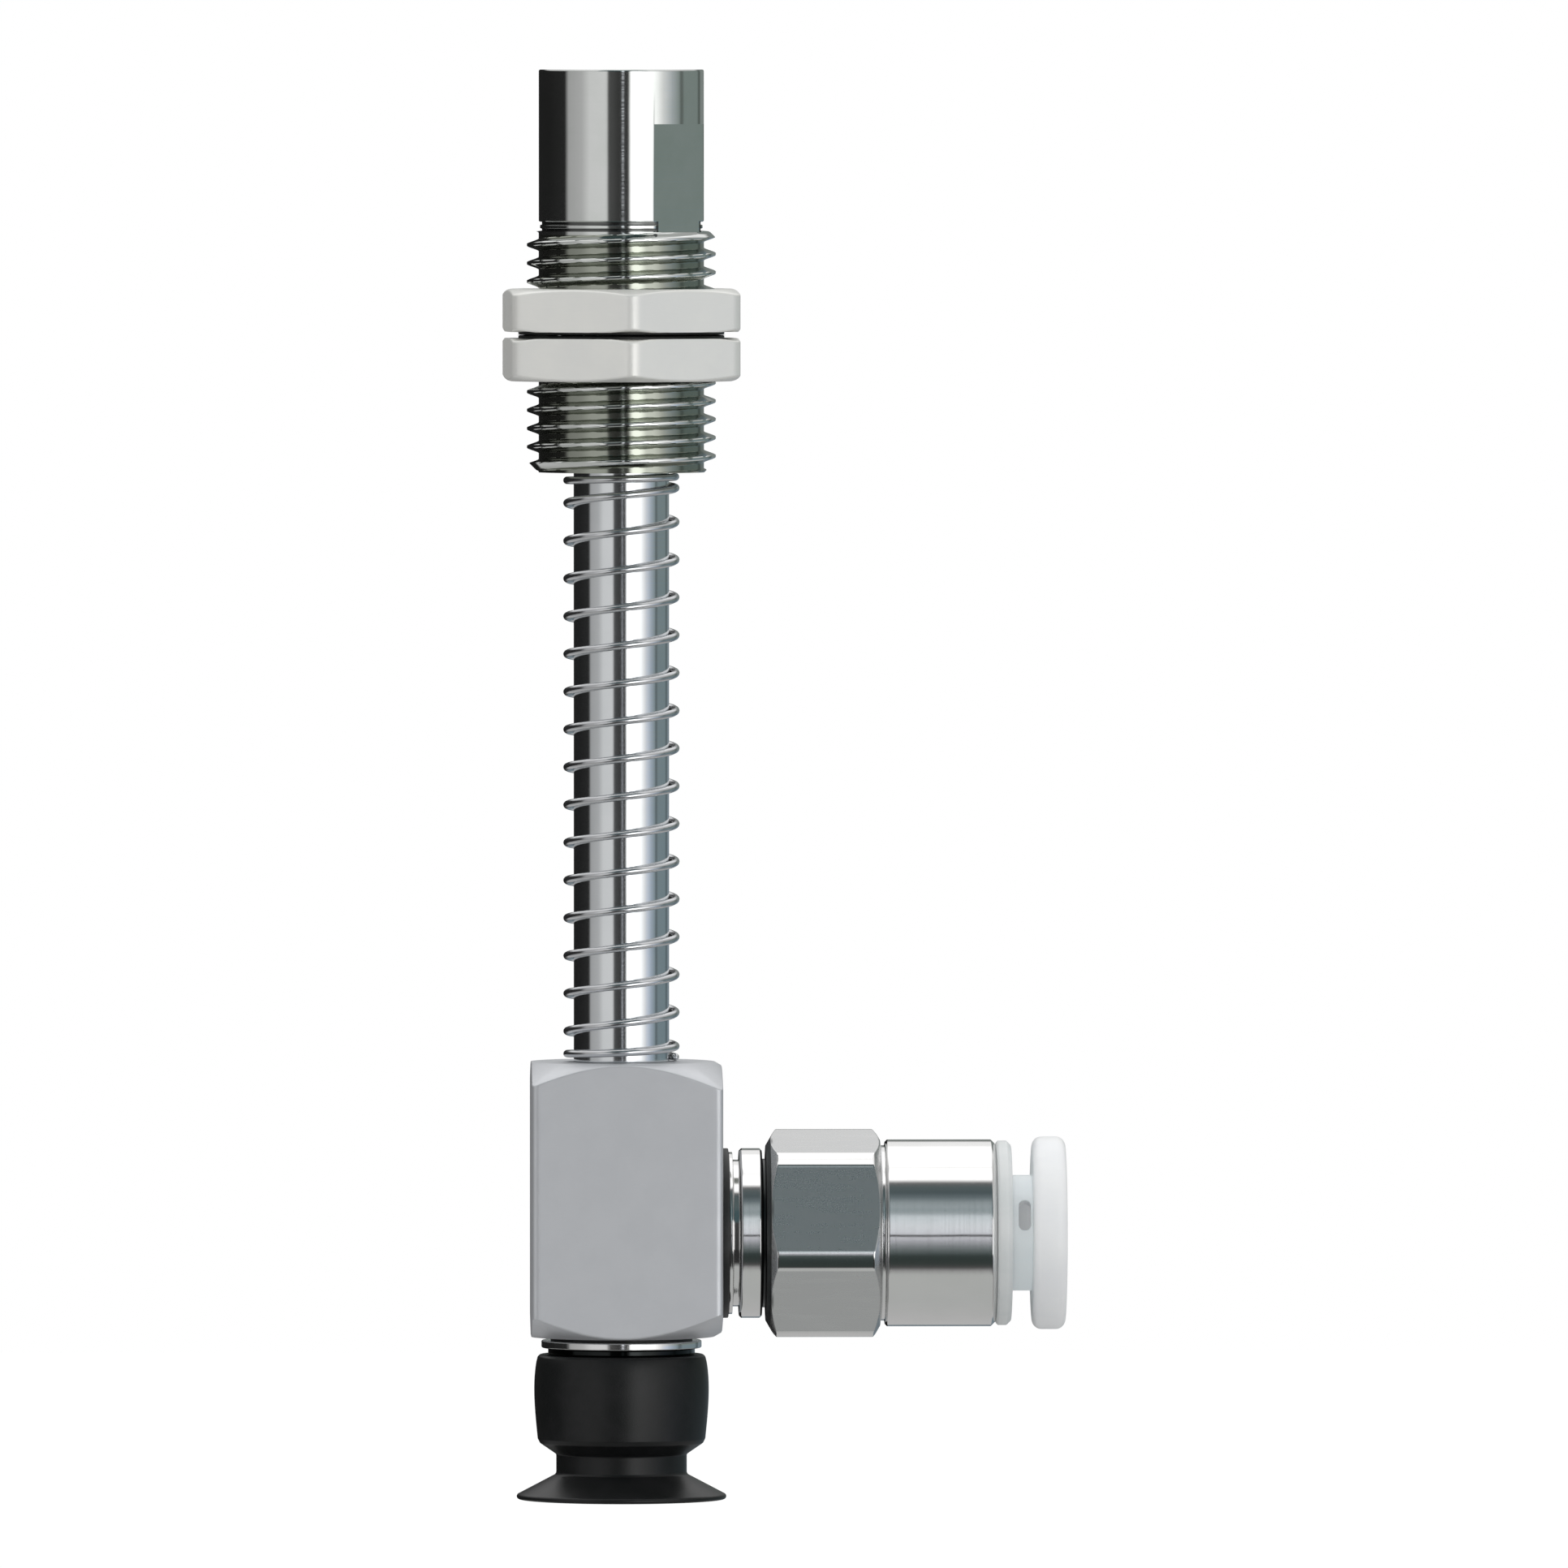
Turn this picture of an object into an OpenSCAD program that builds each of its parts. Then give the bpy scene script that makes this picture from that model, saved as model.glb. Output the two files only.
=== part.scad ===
// Suction cup level compensator: a sprung stem in a threaded guide, a vacuum block with a
// push-in hose fitting on its side, and a small rubber cup under it.
// Millimetres. The origin is the plane between the two lock nuts, on the stem's axis.
// +Z runs up the stem, +X points out of the hose fitting.

/* [Guide bushing] */
// Crest diameter of the mounting thread
thread_d = 9.9; // [9.4:0.1:12]
// Length of the threaded stretch above the plane between the nuts
thread_above = 5.45; // [4:0.1:12]
// Length of the threaded stretch below the plane between the nuts
thread_below = 7.2; // [6:0.1:20]
// Chamfer at the lower end of the thread
thread_chamfer = 0.6; // [0.3:0.05:0.7]
// Chamfer at the upper end of the thread
thread_top_chamfer = 0.35; // [0.2:0.05:0.6]
// Pitch of the thread
thread_pitch = 1; // [0.75:0.25:1.5]
// Depth of the thread
thread_depth = 0.6; // [0.3:0.02:0.6]
// Width of the relief groove between thread and neck
relief_w = 0.55; // [0.3:0.05:1]
// Depth of the relief groove below the neck's surface
relief_depth = 0.2; // [0.1:0.05:0.4]
// Diameter of the plain neck above the thread
neck_d = 8.65; // [8.4:0.05:9.2]
// Length of the plain neck
neck_len = 7.9; // [7:0.1:16]
// Size across the two wrench flats on the neck
flat_af = 7.35; // [7.2:0.05:8]
// Height of the wrench flats
flat_len = 5.65; // [3:0.1:6]
// Direction that the first wrench flat faces, about the stem's axis
flat_turn = -36; // [-90:1:90]
// Diameter of the pocket in the top of the neck, for the stem's stop
pocket_d = 6.9; // [6.7:0.05:7.2]
// Depth of the stop pocket
pocket_depth = 2.6; // [2.4:0.05:4]

/* [Guide bushes] */
// Length of each plain bearing bush
bush_len = 5; // [3:0.1:6]
// Wall of each bush
bush_wall = 0.6; // [0.4:0.05:0.65]
// Height of the lip that carries the lower bush
bush_lip = 0.8; // [0.4:0.1:2]

/* [Lock nuts] */
// Size across the flats of both nuts
nut_af = 12; // [12:0.1:16]
// Height of each nut
nut_h = 2.4; // [1.8:0.1:4]
// Radius on the nut's faces at which the corner chamfer starts
nut_face_r = 5.8; // [5.6:0.05:6.3]
// Angle of the corner chamfer
nut_chamfer_angle = 16; // [12:1:30]
// Direction of the nuts' first corner
nut_turn = -26; // [-30:1:30]

/* [Stem] */
// Diameter of the polished stem
rod_d = 5; // [4.6:0.05:5.1]
// Free travel of the stem against its spring
stroke = 20; // [5:0.5:22]
// Length of the stem above its stop clip
rod_tip = 0.6; // [0.4:0.05:0.8]
// Diameter of the stem's spigot in the block
spigot_d = 4; // [3:0.1:4.4]
// Length of the stem's spigot in the block
spigot_len = 4; // [2:0.1:5]

/* [Stem stop] */
// Thickness of the rubber bumper washer
bumper_t = 0.5; // [0.3:0.05:0.6]
// Thickness of the steel stop washer
washer_t = 0.4; // [0.3:0.05:0.6]
// Outer diameter of the bumper and the stop washer
stop_d = 6.5; // [6:0.05:6.6]
// Thickness of the retaining clip
clip_t = 0.4; // [0.3:0.05:0.6]
// Outer diameter of the retaining clip
clip_d = 6.3; // [5.8:0.05:6.5]
// Depth of the clip's groove in the stem
clip_groove_depth = 0.4; // [0.2:0.05:0.6]
// Opening angle of the clip
clip_gap_angle = 70; // [40:1:100]

/* [Compression spring] */
// Length of the spring as fitted, from the guide to the block
spring_len = 30.9; // [28:0.1:45]
// Outer diameter of the spring
spring_d = 6.1; // [6.05:0.05:7]
// Diameter of the spring wire
wire_d = 0.4; // [0.3:0.01:0.42]
// Number of turns, with the closed ends
spring_turns = 17; // [10:1:18]
// Closed part of a turn at each end
closed_turns = 0.5; // [0.25:0.25:1.5]

/* [Vacuum block] */
// Width of the square block
block_w = 10; // [9.4:0.1:14]
// How far the middle of the block lies towards the hose port from the stem's axis
port_offset = 0.25; // [0:0.05:0.4]
// Height of the block
block_h = 14.4; // [14:0.1:20]
// Angle of the turned chamfer on both ends of the block
block_chamfer_angle = 30; // [15:1:40]
// Width that the chamfer takes off the middle of each side
block_chamfer_in = 0.1; // [0.05:0.05:0.4]
// Depth of the hose port's axis below the block's top
port_drop = 9; // [8.6:0.1:9]
// Diameter of the air passages
passage_d = 2.2; // [1.5:0.1:2.6]

/* [Hose fitting] */
// Outer diameter of the hose that the fitting takes
tube_d = 4; // [3:0.1:4.1]
// Diameter of the fitting's stud and of the block's ports
stud_d = 5; // [4.6:0.1:5]
// Length of the fitting's stud
stud_len = 2.9; // [2:0.1:3]
// Thickness of the sealing gasket
gasket_t = 0.35; // [0.2:0.05:0.8]
// Outer diameter of the gasket
gasket_d = 8.9; // [7:0.1:9.2]
// Thickness of the metal ring behind the gasket
backing_t = 0.2; // [0.1:0.05:0.5]
// Outer diameter of the metal ring behind the gasket
backing_d = 8.5; // [7:0.1:8.8]
// Width of the thin lip on the fitting's seat face
seat_lip_w = 0.35; // [0.2:0.05:0.6]
// Depth of the groove between the lip and the collar
seat_groove_depth = 0.6; // [0.1:0.05:0.8]
// Diameter of the polished collar
collar_d = 8.9; // [8:0.1:9.4]
// Width of the polished collar
collar_w = 1.2; // [0.6:0.05:2]
// Diameter of the undercut behind the collar
undercut_d = 7.8; // [7.4:0.1:8.4]
// Width of the undercut behind the collar
undercut_w = 0.2; // [0.1:0.05:0.6]
// Size across the flats of the fitting's hexagon
hex_af = 10; // [9.8:0.1:12]
// Length of the hexagon
hex_len = 6; // [4:0.1:8]
// Largest diameter left on the hexagon's corners
hex_corner_d = 11.2; // [10.6:0.1:11.4]
// Direction of the hexagon's first corner
hex_turn = -15.2; // [-30:0.1:30]
// Diameter of the hexagon's turned face next to the undercut
hex_seat_d = 8.8; // [8.2:0.1:9.6]
// Diameter of the groove between the hexagon and the barrel
waist_d = 9.2; // [8.6:0.1:9.6]
// Width of the groove between the hexagon and the barrel
waist_w = 0.25; // [0.2:0.05:1]
// Diameter of the barrel
barrel_d = 9.8; // [9.4:0.1:11]
// Length of the barrel
barrel_len = 5.8; // [5.6:0.1:9]
// Depth of the hose bore inside the lip seal
tube_bore_len = 4; // [3:0.1:4.6]

/* [Hose grip] */
// Outer diameter of the lip seal
seal_d = 6.6; // [6:0.1:7]
// Length of the lip seal
seal_len = 1.6; // [1.2:0.1:2]
// Thickness of the ring behind the seal
backup_t = 0.35; // [0.2:0.05:0.5]
// Outer diameter of the gripping parts inside the barrel
grip_d = 7.9; // [7.6:0.1:8.2]
// Thickness of the claw's sheet metal
claw_t = 0.25; // [0.15:0.05:0.3]
// Length of the claw
claw_len = 0.85; // [0.6:0.05:1]
// Number of fingers on the claw
claw_count = 8; // [6:1:12]
// Width of the slots between the fingers
claw_slot = 0.3; // [0.2:0.05:0.5]
// Depth of the resin guide inside the barrel
guide_in = 3.1; // [2.9:0.05:3.4]
// Thickness of the resin guide's rim outside the barrel
guide_rim_t = 0.8; // [0.5:0.05:1.2]
// Wall of the resin guide around the release sleeve
guide_wall = 0.9; // [0.6:0.05:1.1]

/* [Release ring] */
// Travel of the release ring
release_travel = 0.8; // [0.3:0.05:0.8]
// Gap between the ring's flange and the guide's rim
release_gap = 1.1; // [0.85:0.05:1.5]
// Diameter of the release ring's flange
ring_d = 10.1; // [9:0.1:11]
// Thickness of the release ring's flange
ring_t = 1.75; // [1.2:0.05:3]
// Rounding of the flange's outer edges
ring_round = 0.5; // [0.1:0.05:0.6]

/* [Cup adapter] */
// Length of the adapter's stud in the block
adapter_stud_len = 2.6; // [2:0.1:2.7]
// Thickness of the adapter's gasket
adapter_gasket_t = 0.2; // [0.1:0.05:0.5]
// Diameter of the adapter's flange
adapter_flange_d = 8.4; // [8:0.1:9.4]
// Thickness of the adapter's flange
adapter_flange_t = 0.75; // [0.5:0.05:2]
// Diameter of the nipple inside the cup
nipple_d = 5; // [4.6:0.1:5.2]
// Length of the nipple inside the cup
nipple_len = 3.9; // [3.5:0.1:4.1]
// Diameter of the nipple's barb
barb_d = 6.6; // [6:0.1:6.8]

/* [Suction cup] */
// Outer diameter of the cup's lip
cup_d = 11; // [9:0.1:20]
// Height of the whole cup
cup_h = 7.6; // [7.4:0.05:9]
// Diameter of the cup's sleeve
sleeve_d = 8.8; // [8.6:0.05:9.6]
// Length of the cup's sleeve
sleeve_len = 4.65; // [4.3:0.05:5]
// How far the barb pushes the sleeve out
sleeve_bulge = 0.18; // [0:0.02:0.4]
// Diameter of the cup's neck
cup_neck_d = 6.85; // [6:0.05:7.4]
// Height of the flare from the neck to the lip
flare_h = 1; // [0.5:0.05:1.2]
// Thickness of the lip
lip_t = 0.3; // [0.25:0.05:0.5]
// Diameter of the air throat through the cup
throat_d = 3; // [2:0.1:3.4]

/* [Fits] */
// Radial running clearance of the stem in its bushes
stem_fit = 0.03; // [0.01:0.01:0.08]
// Radial clearance of the nuts on the thread
thread_fit = 0.04; // [0.01:0.01:0.08]
// Radial clearance of pieces that are pushed or screwed into each other
seat_fit = 0.02; // [0.01:0.01:0.05]
// Clearance between faces of pieces that move against each other
face_fit = 0.02; // [0.01:0.01:0.1]
// Radial clearance of the hose in the fitting
tube_fit = 0.05; // [0.01:0.01:0.05]

/* [Hidden] */
$fn = 96;

// Overlap of a cutting shape past the face that it cuts
cut = 0.5;
// Small edge breaks on turned metal and moulded plastic
edge = 0.12;

// Heights in the guide
neck_z = thread_above + relief_w;
guide_top = neck_z + neck_len;
flat_z = thread_above - edge / 2;
pocket_floor = guide_top - pocket_depth;
bush_r = rod_d / 2 + stem_fit + bush_wall;
bore_r = bush_r + seat_fit;
bush_z = bush_lip - thread_below;
relief_r = neck_d / 2 - relief_depth;

// Heights of the stem's stop
bumper_top = pocket_floor + bumper_t;
washer_z = bumper_top + face_fit;
clip_z = washer_z + washer_t + face_fit;
rod_top = clip_z + clip_t + rod_tip;
clip_groove_r = rod_d / 2 - clip_groove_depth;

// Heights of the spring and the block
block_top = -thread_below - spring_len;
block_bottom = block_top - block_h;
port_z = block_top - port_drop;
coil_r = (spring_d - wire_d) / 2;
coil_len = spring_len - 2 * face_fit;
active_turns = spring_turns - 2 * closed_turns - 1;
coil_pitch = wire_d + (coil_len - wire_d * (spring_turns + 1)) / active_turns;
coil_steps = 20;
wire_sides = 8;
port_r = stud_d / 2 + seat_fit;
port_reach = block_w / 2 + port_offset;

// Stations along the fitting, counted outwards from the block's face
backing_x = gasket_t;
seat_x = backing_x + backing_t;
collar_x = seat_x + seat_lip_w;
undercut_x = collar_x + collar_w;
hex_x = undercut_x + undercut_w;
waist_x = hex_x + hex_len;
barrel_x = waist_x + waist_w;
mouth_x = barrel_x + barrel_len;
claw_x = mouth_x - guide_in - claw_len;
backup_x = claw_x - backup_t;
seal_x = backup_x - seal_len;
tube_stop_x = seal_x - tube_bore_len;
tube_r = tube_d / 2 + tube_fit;
grip_r = grip_d / 2;
rim_x = mouth_x + face_fit;
flange_x = rim_x + guide_rim_t + release_gap;

// The release ring's sleeve and its catch inside the guide
sleeve_r = grip_r - guide_wall - face_fit;
catch_r = grip_r - guide_wall / 2;
catch_w = 0.7;
catch_x = mouth_x - guide_in + release_travel + 0.15;
catch_step_x = catch_x + catch_w + face_fit;

// Heights of the adapter and the cup, counted down from the block's bottom
flange_z = -adapter_gasket_t;
cup_z = flange_z - adapter_flange_t;

// A turned part: its half profile as [radius, height] points
module turned(profile) {
    rotate_extrude() polygon(profile);
}

// A plain ring with both outer edges broken
module ring(outer_r, inner_r, t, broken = edge) {
    turned([
        [inner_r, 0], [outer_r - broken, 0], [outer_r, broken],
        [outer_r, t - broken], [outer_r - broken, t], [inner_r, t]
    ]);
}

// A round hole along +Z from height z
module hole(r, z, len) {
    translate([0, 0, z]) cylinder(r = r, h = len);
}

// A hexagonal bar with turned corner chamfers on both ends, from its lower and its upper face
module hex_bar(af, h, lower_r, face_r, corner_r, angle, turn) {
    rise = (corner_r - lower_r) * tan(angle);
    drop = (corner_r - face_r) * tan(angle);
    intersection() {
        rotate([0, 0, turn]) cylinder(r = af / sqrt(3), h = h, $fn = 6);
        turned([
            [0, 0], [lower_r, 0], [corner_r, rise],
            [corner_r, h - drop], [face_r, h], [0, h]
        ]);
    }
}

// Points of an arc in a half profile
function arc(centre, r, from, to, steps = 8) =
    [for (i = [0 : steps]) let (a = from + (to - from) * i / steps)
        [centre[0] + r * cos(a), centre[1] + r * sin(a)]];

// Puts a piece of the fitting on the block's port, pointing along +X
module on_port() {
    translate([port_reach, 0, port_z]) rotate([0, 90, 0]) children();
}

// Puts a piece of the cup on the block's lower port, its height counted from the block's bottom
module under_block() {
    translate([0, 0, block_bottom]) children();
}

// Half profile of the mounting thread between two heights: straight flanks, flat crests and roots,
// its turns drawn as plain rings
function thread(crest_r, from, to) =
    let (root_r = crest_r - thread_depth, flank = thread_depth * tan(30),
         crest = thread_pitch / 8, grooves = floor((to - from) / thread_pitch),
         start = from + (to - from - grooves * thread_pitch) / 2)
    [
        [crest_r, from],
        for (i = [0 : grooves - 1]) let (z = start + i * thread_pitch) each [
            [crest_r, z + crest / 2], [root_r, z + crest / 2 + flank],
            [root_r, z + thread_pitch - crest / 2 - flank], [crest_r, z + thread_pitch - crest / 2]
        ],
        [crest_r, to]
    ];

// Threaded guide with a plain neck, two wrench flats, a bore for the bushes and a stop pocket
module guide_bushing() {
    crest_r = thread_d / 2;
    color("silver") difference() {
        turned([
            [0, -thread_below],
            [crest_r - thread_chamfer, -thread_below],
            each thread(crest_r, thread_chamfer - thread_below, thread_above - thread_top_chamfer),
            [crest_r - thread_top_chamfer, thread_above],
            [relief_r, thread_above],
            [relief_r, neck_z],
            [neck_d / 2 - edge, neck_z],
            [neck_d / 2, neck_z + edge],
            [neck_d / 2, guide_top - edge],
            [neck_d / 2 - edge, guide_top],
            [0, guide_top]
        ]);
        hole(bore_r, bush_z, pocket_floor - bush_z);
        hole(pocket_d / 2, pocket_floor, pocket_depth + cut);
        hole(rod_d / 2 + 4 * stem_fit, -thread_below - cut, bush_lip + 2 * cut);
        for (side = [0, 180])
            rotate([0, 0, flat_turn + side])
                translate([flat_af / 2, -thread_d / 2, flat_z])
                    cube([thread_d / 2, thread_d, flat_len]);
    }
}

// Plain bearing bush, its lower end at height z
module guide_bush(z) {
    color("darkgoldenrod") translate([0, 0, z])
        ring(bush_r, rod_d / 2 + stem_fit, bush_len, edge / 2);
}

module guide_bush_upper() {
    guide_bush(pocket_floor - bush_len);
}

module guide_bush_lower() {
    guide_bush(bush_z);
}

// Thin hexagonal nut, its lower face at height z
module lock_nut(z) {
    color("gainsboro") translate([0, 0, z]) difference() {
        hex_bar(nut_af, nut_h, nut_face_r, nut_face_r, nut_af / sqrt(3) + edge, nut_chamfer_angle, nut_turn);
        hole(thread_d / 2 + thread_fit, -cut, nut_h + 2 * cut);
    }
}

module lock_nut_upper() {
    lock_nut(face_fit);
}

module lock_nut_lower() {
    lock_nut(-nut_h - face_fit);
}

// Rubber washer on the floor of the stop pocket
module stop_bumper() {
    color("dimgray") translate([0, 0, pocket_floor])
        ring(stop_d / 2, rod_d / 2 + 2 * stem_fit, bumper_t);
}

// Steel washer between the bumper and the clip
module stop_washer() {
    color("lightsteelblue") translate([0, 0, washer_z])
        ring(stop_d / 2, rod_d / 2 + stem_fit, washer_t);
}

// Open clip in the stem's groove
module retaining_clip() {
    reach = clip_d;
    color("slategray") translate([0, 0, clip_z]) difference() {
        ring(clip_d / 2, clip_groove_r + seat_fit, clip_t, edge / 2);
        translate([0, 0, -cut]) linear_extrude(clip_t + 2 * cut)
            polygon([
                [0, 0],
                reach * [cos(clip_gap_angle / 2), sin(clip_gap_angle / 2)],
                reach * [cos(clip_gap_angle / 2), -sin(clip_gap_angle / 2)]
            ]);
    }
}

// Polished stem with its clip groove at the top and its spigot in the block
module stem_rod() {
    groove_z = clip_z - face_fit;
    rod_r = rod_d / 2;
    color("silver") turned([
        [0, block_top - spigot_len],
        [spigot_d / 2 - edge, block_top - spigot_len],
        [spigot_d / 2, block_top - spigot_len + edge],
        [spigot_d / 2, block_top],
        [rod_r, block_top],
        [rod_r, groove_z],
        [clip_groove_r, groove_z],
        [clip_groove_r, clip_z + clip_t + face_fit],
        [rod_r, clip_z + clip_t + face_fit],
        [rod_r, rod_top - 2 * edge],
        [rod_r - 2 * edge, rod_top],
        [0, rod_top]
    ]);
}

// Height gained by a pitch that rises evenly from nothing to one over one turn
function eased(turns) = turns <= 0 ? 0 : turns >= 1 ? turns - 0.5 : turns * turns / 2;

// Height of the wire's centre after a number of turns: closed ends, open turns between
function coil_z(turns) =
    wire_d / 2 + wire_d * turns
    + (coil_pitch - wire_d)
        * (eased(turns - closed_turns) - eased(turns - (spring_turns - closed_turns - 1)));

// Right-handed compression spring round the stem, one wire swept along its helix
module compression_spring() {
    last = spring_turns * coil_steps;
    points = [for (i = [0 : last], j = [0 : wire_sides - 1])
        let (turns = i / coil_steps, a = 360 * turns, b = 360 * j / wire_sides,
             r = coil_r + wire_d / 2 * cos(b))
        [r * cos(a), r * sin(a), coil_z(turns) + wire_d / 2 * sin(b)]];
    sides = [for (i = [0 : last - 1], j = [0 : wire_sides - 1])
        let (k = (j + 1) % wire_sides, here = i * wire_sides, next = here + wire_sides)
        [here + j, next + j, next + k, here + k]];
    start = [for (j = [0 : wire_sides - 1]) j];
    end = [for (j = [wire_sides - 1 : -1 : 0]) last * wire_sides + j];
    color("lightgray") translate([0, 0, block_top + face_fit])
        polyhedron(points, concat(sides, [start, end]), convexity = 10);
}

// Square block with turned ends, a seat for the stem and two ports joined by passages
module vacuum_block() {
    face_r = block_w / 2 - block_chamfer_in;
    corner_r = norm([port_reach, block_w / 2]) + edge;
    drop = (corner_r - face_r) * tan(block_chamfer_angle);
    color("darkgray") difference() {
        translate([0, 0, block_bottom]) intersection() {
            translate([port_reach - block_w, -block_w / 2, 0]) cube([block_w, block_w, block_h]);
            turned([
                [0, 0], [face_r, 0], [corner_r, drop],
                [corner_r, block_h - drop], [face_r, block_h], [0, block_h]
            ]);
        }
        hole(spigot_d / 2 + seat_fit, block_top - spigot_len - edge, spigot_len + edge + cut);
        hole(passage_d / 2, block_bottom, port_z - block_bottom);
        hole(port_r, block_bottom - cut, adapter_stud_len + edge + cut);
        on_port() {
            hole(passage_d / 2, -port_reach, port_reach);
            hole(port_r, -stud_len - edge, stud_len + edge + cut);
        }
    }
}

// Black sealing gasket between the block and the fitting
module fitting_gasket() {
    color("black") on_port() ring(gasket_d / 2, port_r, gasket_t);
}

// Thin metal ring that backs the gasket
module gasket_backing_ring() {
    color("lightgray") on_port() translate([0, 0, backing_x])
        ring(backing_d / 2, port_r, backing_t, edge / 4);
}

// Plated fitting body: stud, seat lip, collar, hexagon and barrel, bored for the hose and its grip
module fitting_body() {
    collar_r = collar_d / 2;
    barrel_r = barrel_d / 2;
    color("gainsboro") on_port() difference() {
        union() {
            turned([
                [0, -stud_len],
                [stud_d / 2 - edge, -stud_len],
                [stud_d / 2, edge - stud_len],
                [stud_d / 2, seat_x],
                [collar_r - seat_groove_depth, seat_x],
                [collar_r - seat_groove_depth, collar_x],
                [collar_r - edge, collar_x],
                [collar_r, collar_x + edge],
                [collar_r, undercut_x - edge],
                [collar_r - edge, undercut_x],
                [undercut_d / 2, undercut_x],
                [undercut_d / 2, hex_x + edge],
                [0, hex_x + edge]
            ]);
            translate([0, 0, hex_x])
                hex_bar(hex_af, hex_len, hex_seat_d / 2, hex_af / 2 - edge, hex_corner_d / 2, 30, hex_turn);
            turned([
                [0, waist_x - edge],
                [waist_d / 2, waist_x - edge],
                [waist_d / 2, barrel_x],
                [barrel_r - edge, barrel_x],
                [barrel_r, barrel_x + edge],
                [barrel_r, mouth_x - 2 * edge],
                [barrel_r - 2 * edge, mouth_x],
                [0, mouth_x]
            ]);
        }
        hole(passage_d / 2, -stud_len - cut, stud_len + tube_stop_x + 2 * cut);
        hole(tube_r, tube_stop_x, mouth_x);
        hole(seal_d / 2 + seat_fit, seal_x, mouth_x);
        hole(grip_r + seat_fit, backup_x, mouth_x);
    }
}

// Rubber lip seal that closes on the hose
module tube_seal() {
    lip_in = (seal_d / 2 - tube_r) / 2;
    color("dimgray") on_port() translate([0, 0, seal_x])
        turned([
            [tube_r, 0], [seal_d / 2, 0], [seal_d / 2, seal_len - edge],
            [tube_r + lip_in + edge, seal_len - edge], [tube_r + lip_in, seal_len / 2],
            [tube_r + edge, seal_len - edge], [tube_r, seal_len - 2 * edge]
        ]);
}

// Metal ring between the seal and the claw
module seal_backup_ring() {
    color("lightgray") on_port() translate([0, 0, backup_x])
        ring(grip_r, tube_r + edge, backup_t, edge / 2);
}

// Slotted spring claw that grips the hose
module grip_claw() {
    tip_r = tube_r + seat_fit;
    slot_r = grip_r - claw_t * 2;
    color("silver") on_port() translate([0, 0, claw_x]) difference() {
        turned([
            [tip_r, 0], [tip_r + claw_t, 0], [slot_r, claw_len - claw_t],
            [grip_r, claw_len - claw_t], [grip_r, claw_len], [slot_r, claw_len],
            [tip_r, claw_t]
        ]);
        for (i = [0 : claw_count - 1])
            rotate([0, 0, 360 * i / claw_count])
                translate([0, -claw_slot / 2, -cut])
                    cube([slot_r, claw_slot, claw_len + 2 * cut]);
    }
}

// Pale resin guide in the barrel's mouth, with a step that catches the release ring
module claw_guide() {
    inner_r = grip_r - guide_wall;
    rim_r = barrel_d / 2 - edge / 2;
    color("whitesmoke") on_port() turned([
        [catch_r + face_fit, mouth_x - guide_in],
        [grip_r, mouth_x - guide_in],
        [grip_r, rim_x],
        [rim_r - edge, rim_x],
        [rim_r, rim_x + edge],
        [rim_r, rim_x + guide_rim_t - 2 * edge],
        [rim_r - 2 * edge, rim_x + guide_rim_t],
        [inner_r, rim_x + guide_rim_t],
        [inner_r, catch_step_x],
        [catch_r + face_fit, catch_step_x]
    ]);
}

// Release ring: a flange to press and a sleeve that opens the claw
module release_ring() {
    ring_r = ring_d / 2;
    bore_mouth_r = tube_r + 3 * edge;
    ring_end = flange_x + ring_t;
    slot_w = 0.65;
    slot_l = 1.7;
    color("white") on_port() difference() {
        turned(concat(
            [[tube_r + edge, catch_x], [catch_r, catch_x], [catch_r, catch_x + catch_w],
             [sleeve_r, catch_x + catch_w], [sleeve_r, flange_x]],
            arc([ring_r - ring_round, flange_x + ring_round], ring_round, -90, 0),
            arc([ring_r - ring_round, ring_end - ring_round], ring_round, 0, 90),
            [[bore_mouth_r, ring_end], [tube_r + edge, ring_end - 2 * edge]]
        ));
        // Two oval windows through the sleeve, in line with two flats of the hexagon
        for (side = [-1, 1])
            translate([0, 0, flange_x - slot_w / 2 - edge])
                rotate([0, 90, 90 * side + hex_turn])
                    translate([0, 0, tube_r])
                        linear_extrude(sleeve_r)
                            for (end = [-1, 1])
                                translate([0, end * (slot_l - slot_w) / 2]) circle(d = slot_w);
    }
}

// Thin gasket under the block
module adapter_gasket() {
    color("black") under_block() translate([0, 0, -adapter_gasket_t])
        ring(adapter_flange_d / 2 - 4 * edge, port_r, adapter_gasket_t, 0);
}

// Plated adapter: stud into the block, flange, and a barbed nipple that holds the cup
module cup_adapter() {
    flange_r = adapter_flange_d / 2;
    tip_z = cup_z - nipple_len;
    barb_top = cup_z - nipple_len / 4;
    color("gainsboro") under_block() difference() {
        turned([
            [0, adapter_stud_len],
            [stud_d / 2 - edge, adapter_stud_len],
            [stud_d / 2, adapter_stud_len - edge],
            [stud_d / 2, flange_z],
            [flange_r - edge, flange_z],
            [flange_r, flange_z - edge],
            [flange_r, cup_z + edge],
            [flange_r - edge, cup_z],
            [nipple_d / 2, cup_z],
            [nipple_d / 2, barb_top],
            [barb_d / 2, barb_top - edge],
            [barb_d / 2, barb_top - 3 * edge],
            [nipple_d / 2, tip_z],
            [0, tip_z]
        ]);
        hole(passage_d / 2, tip_z - cut, adapter_stud_len - tip_z + 2 * cut);
    }
}

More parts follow.
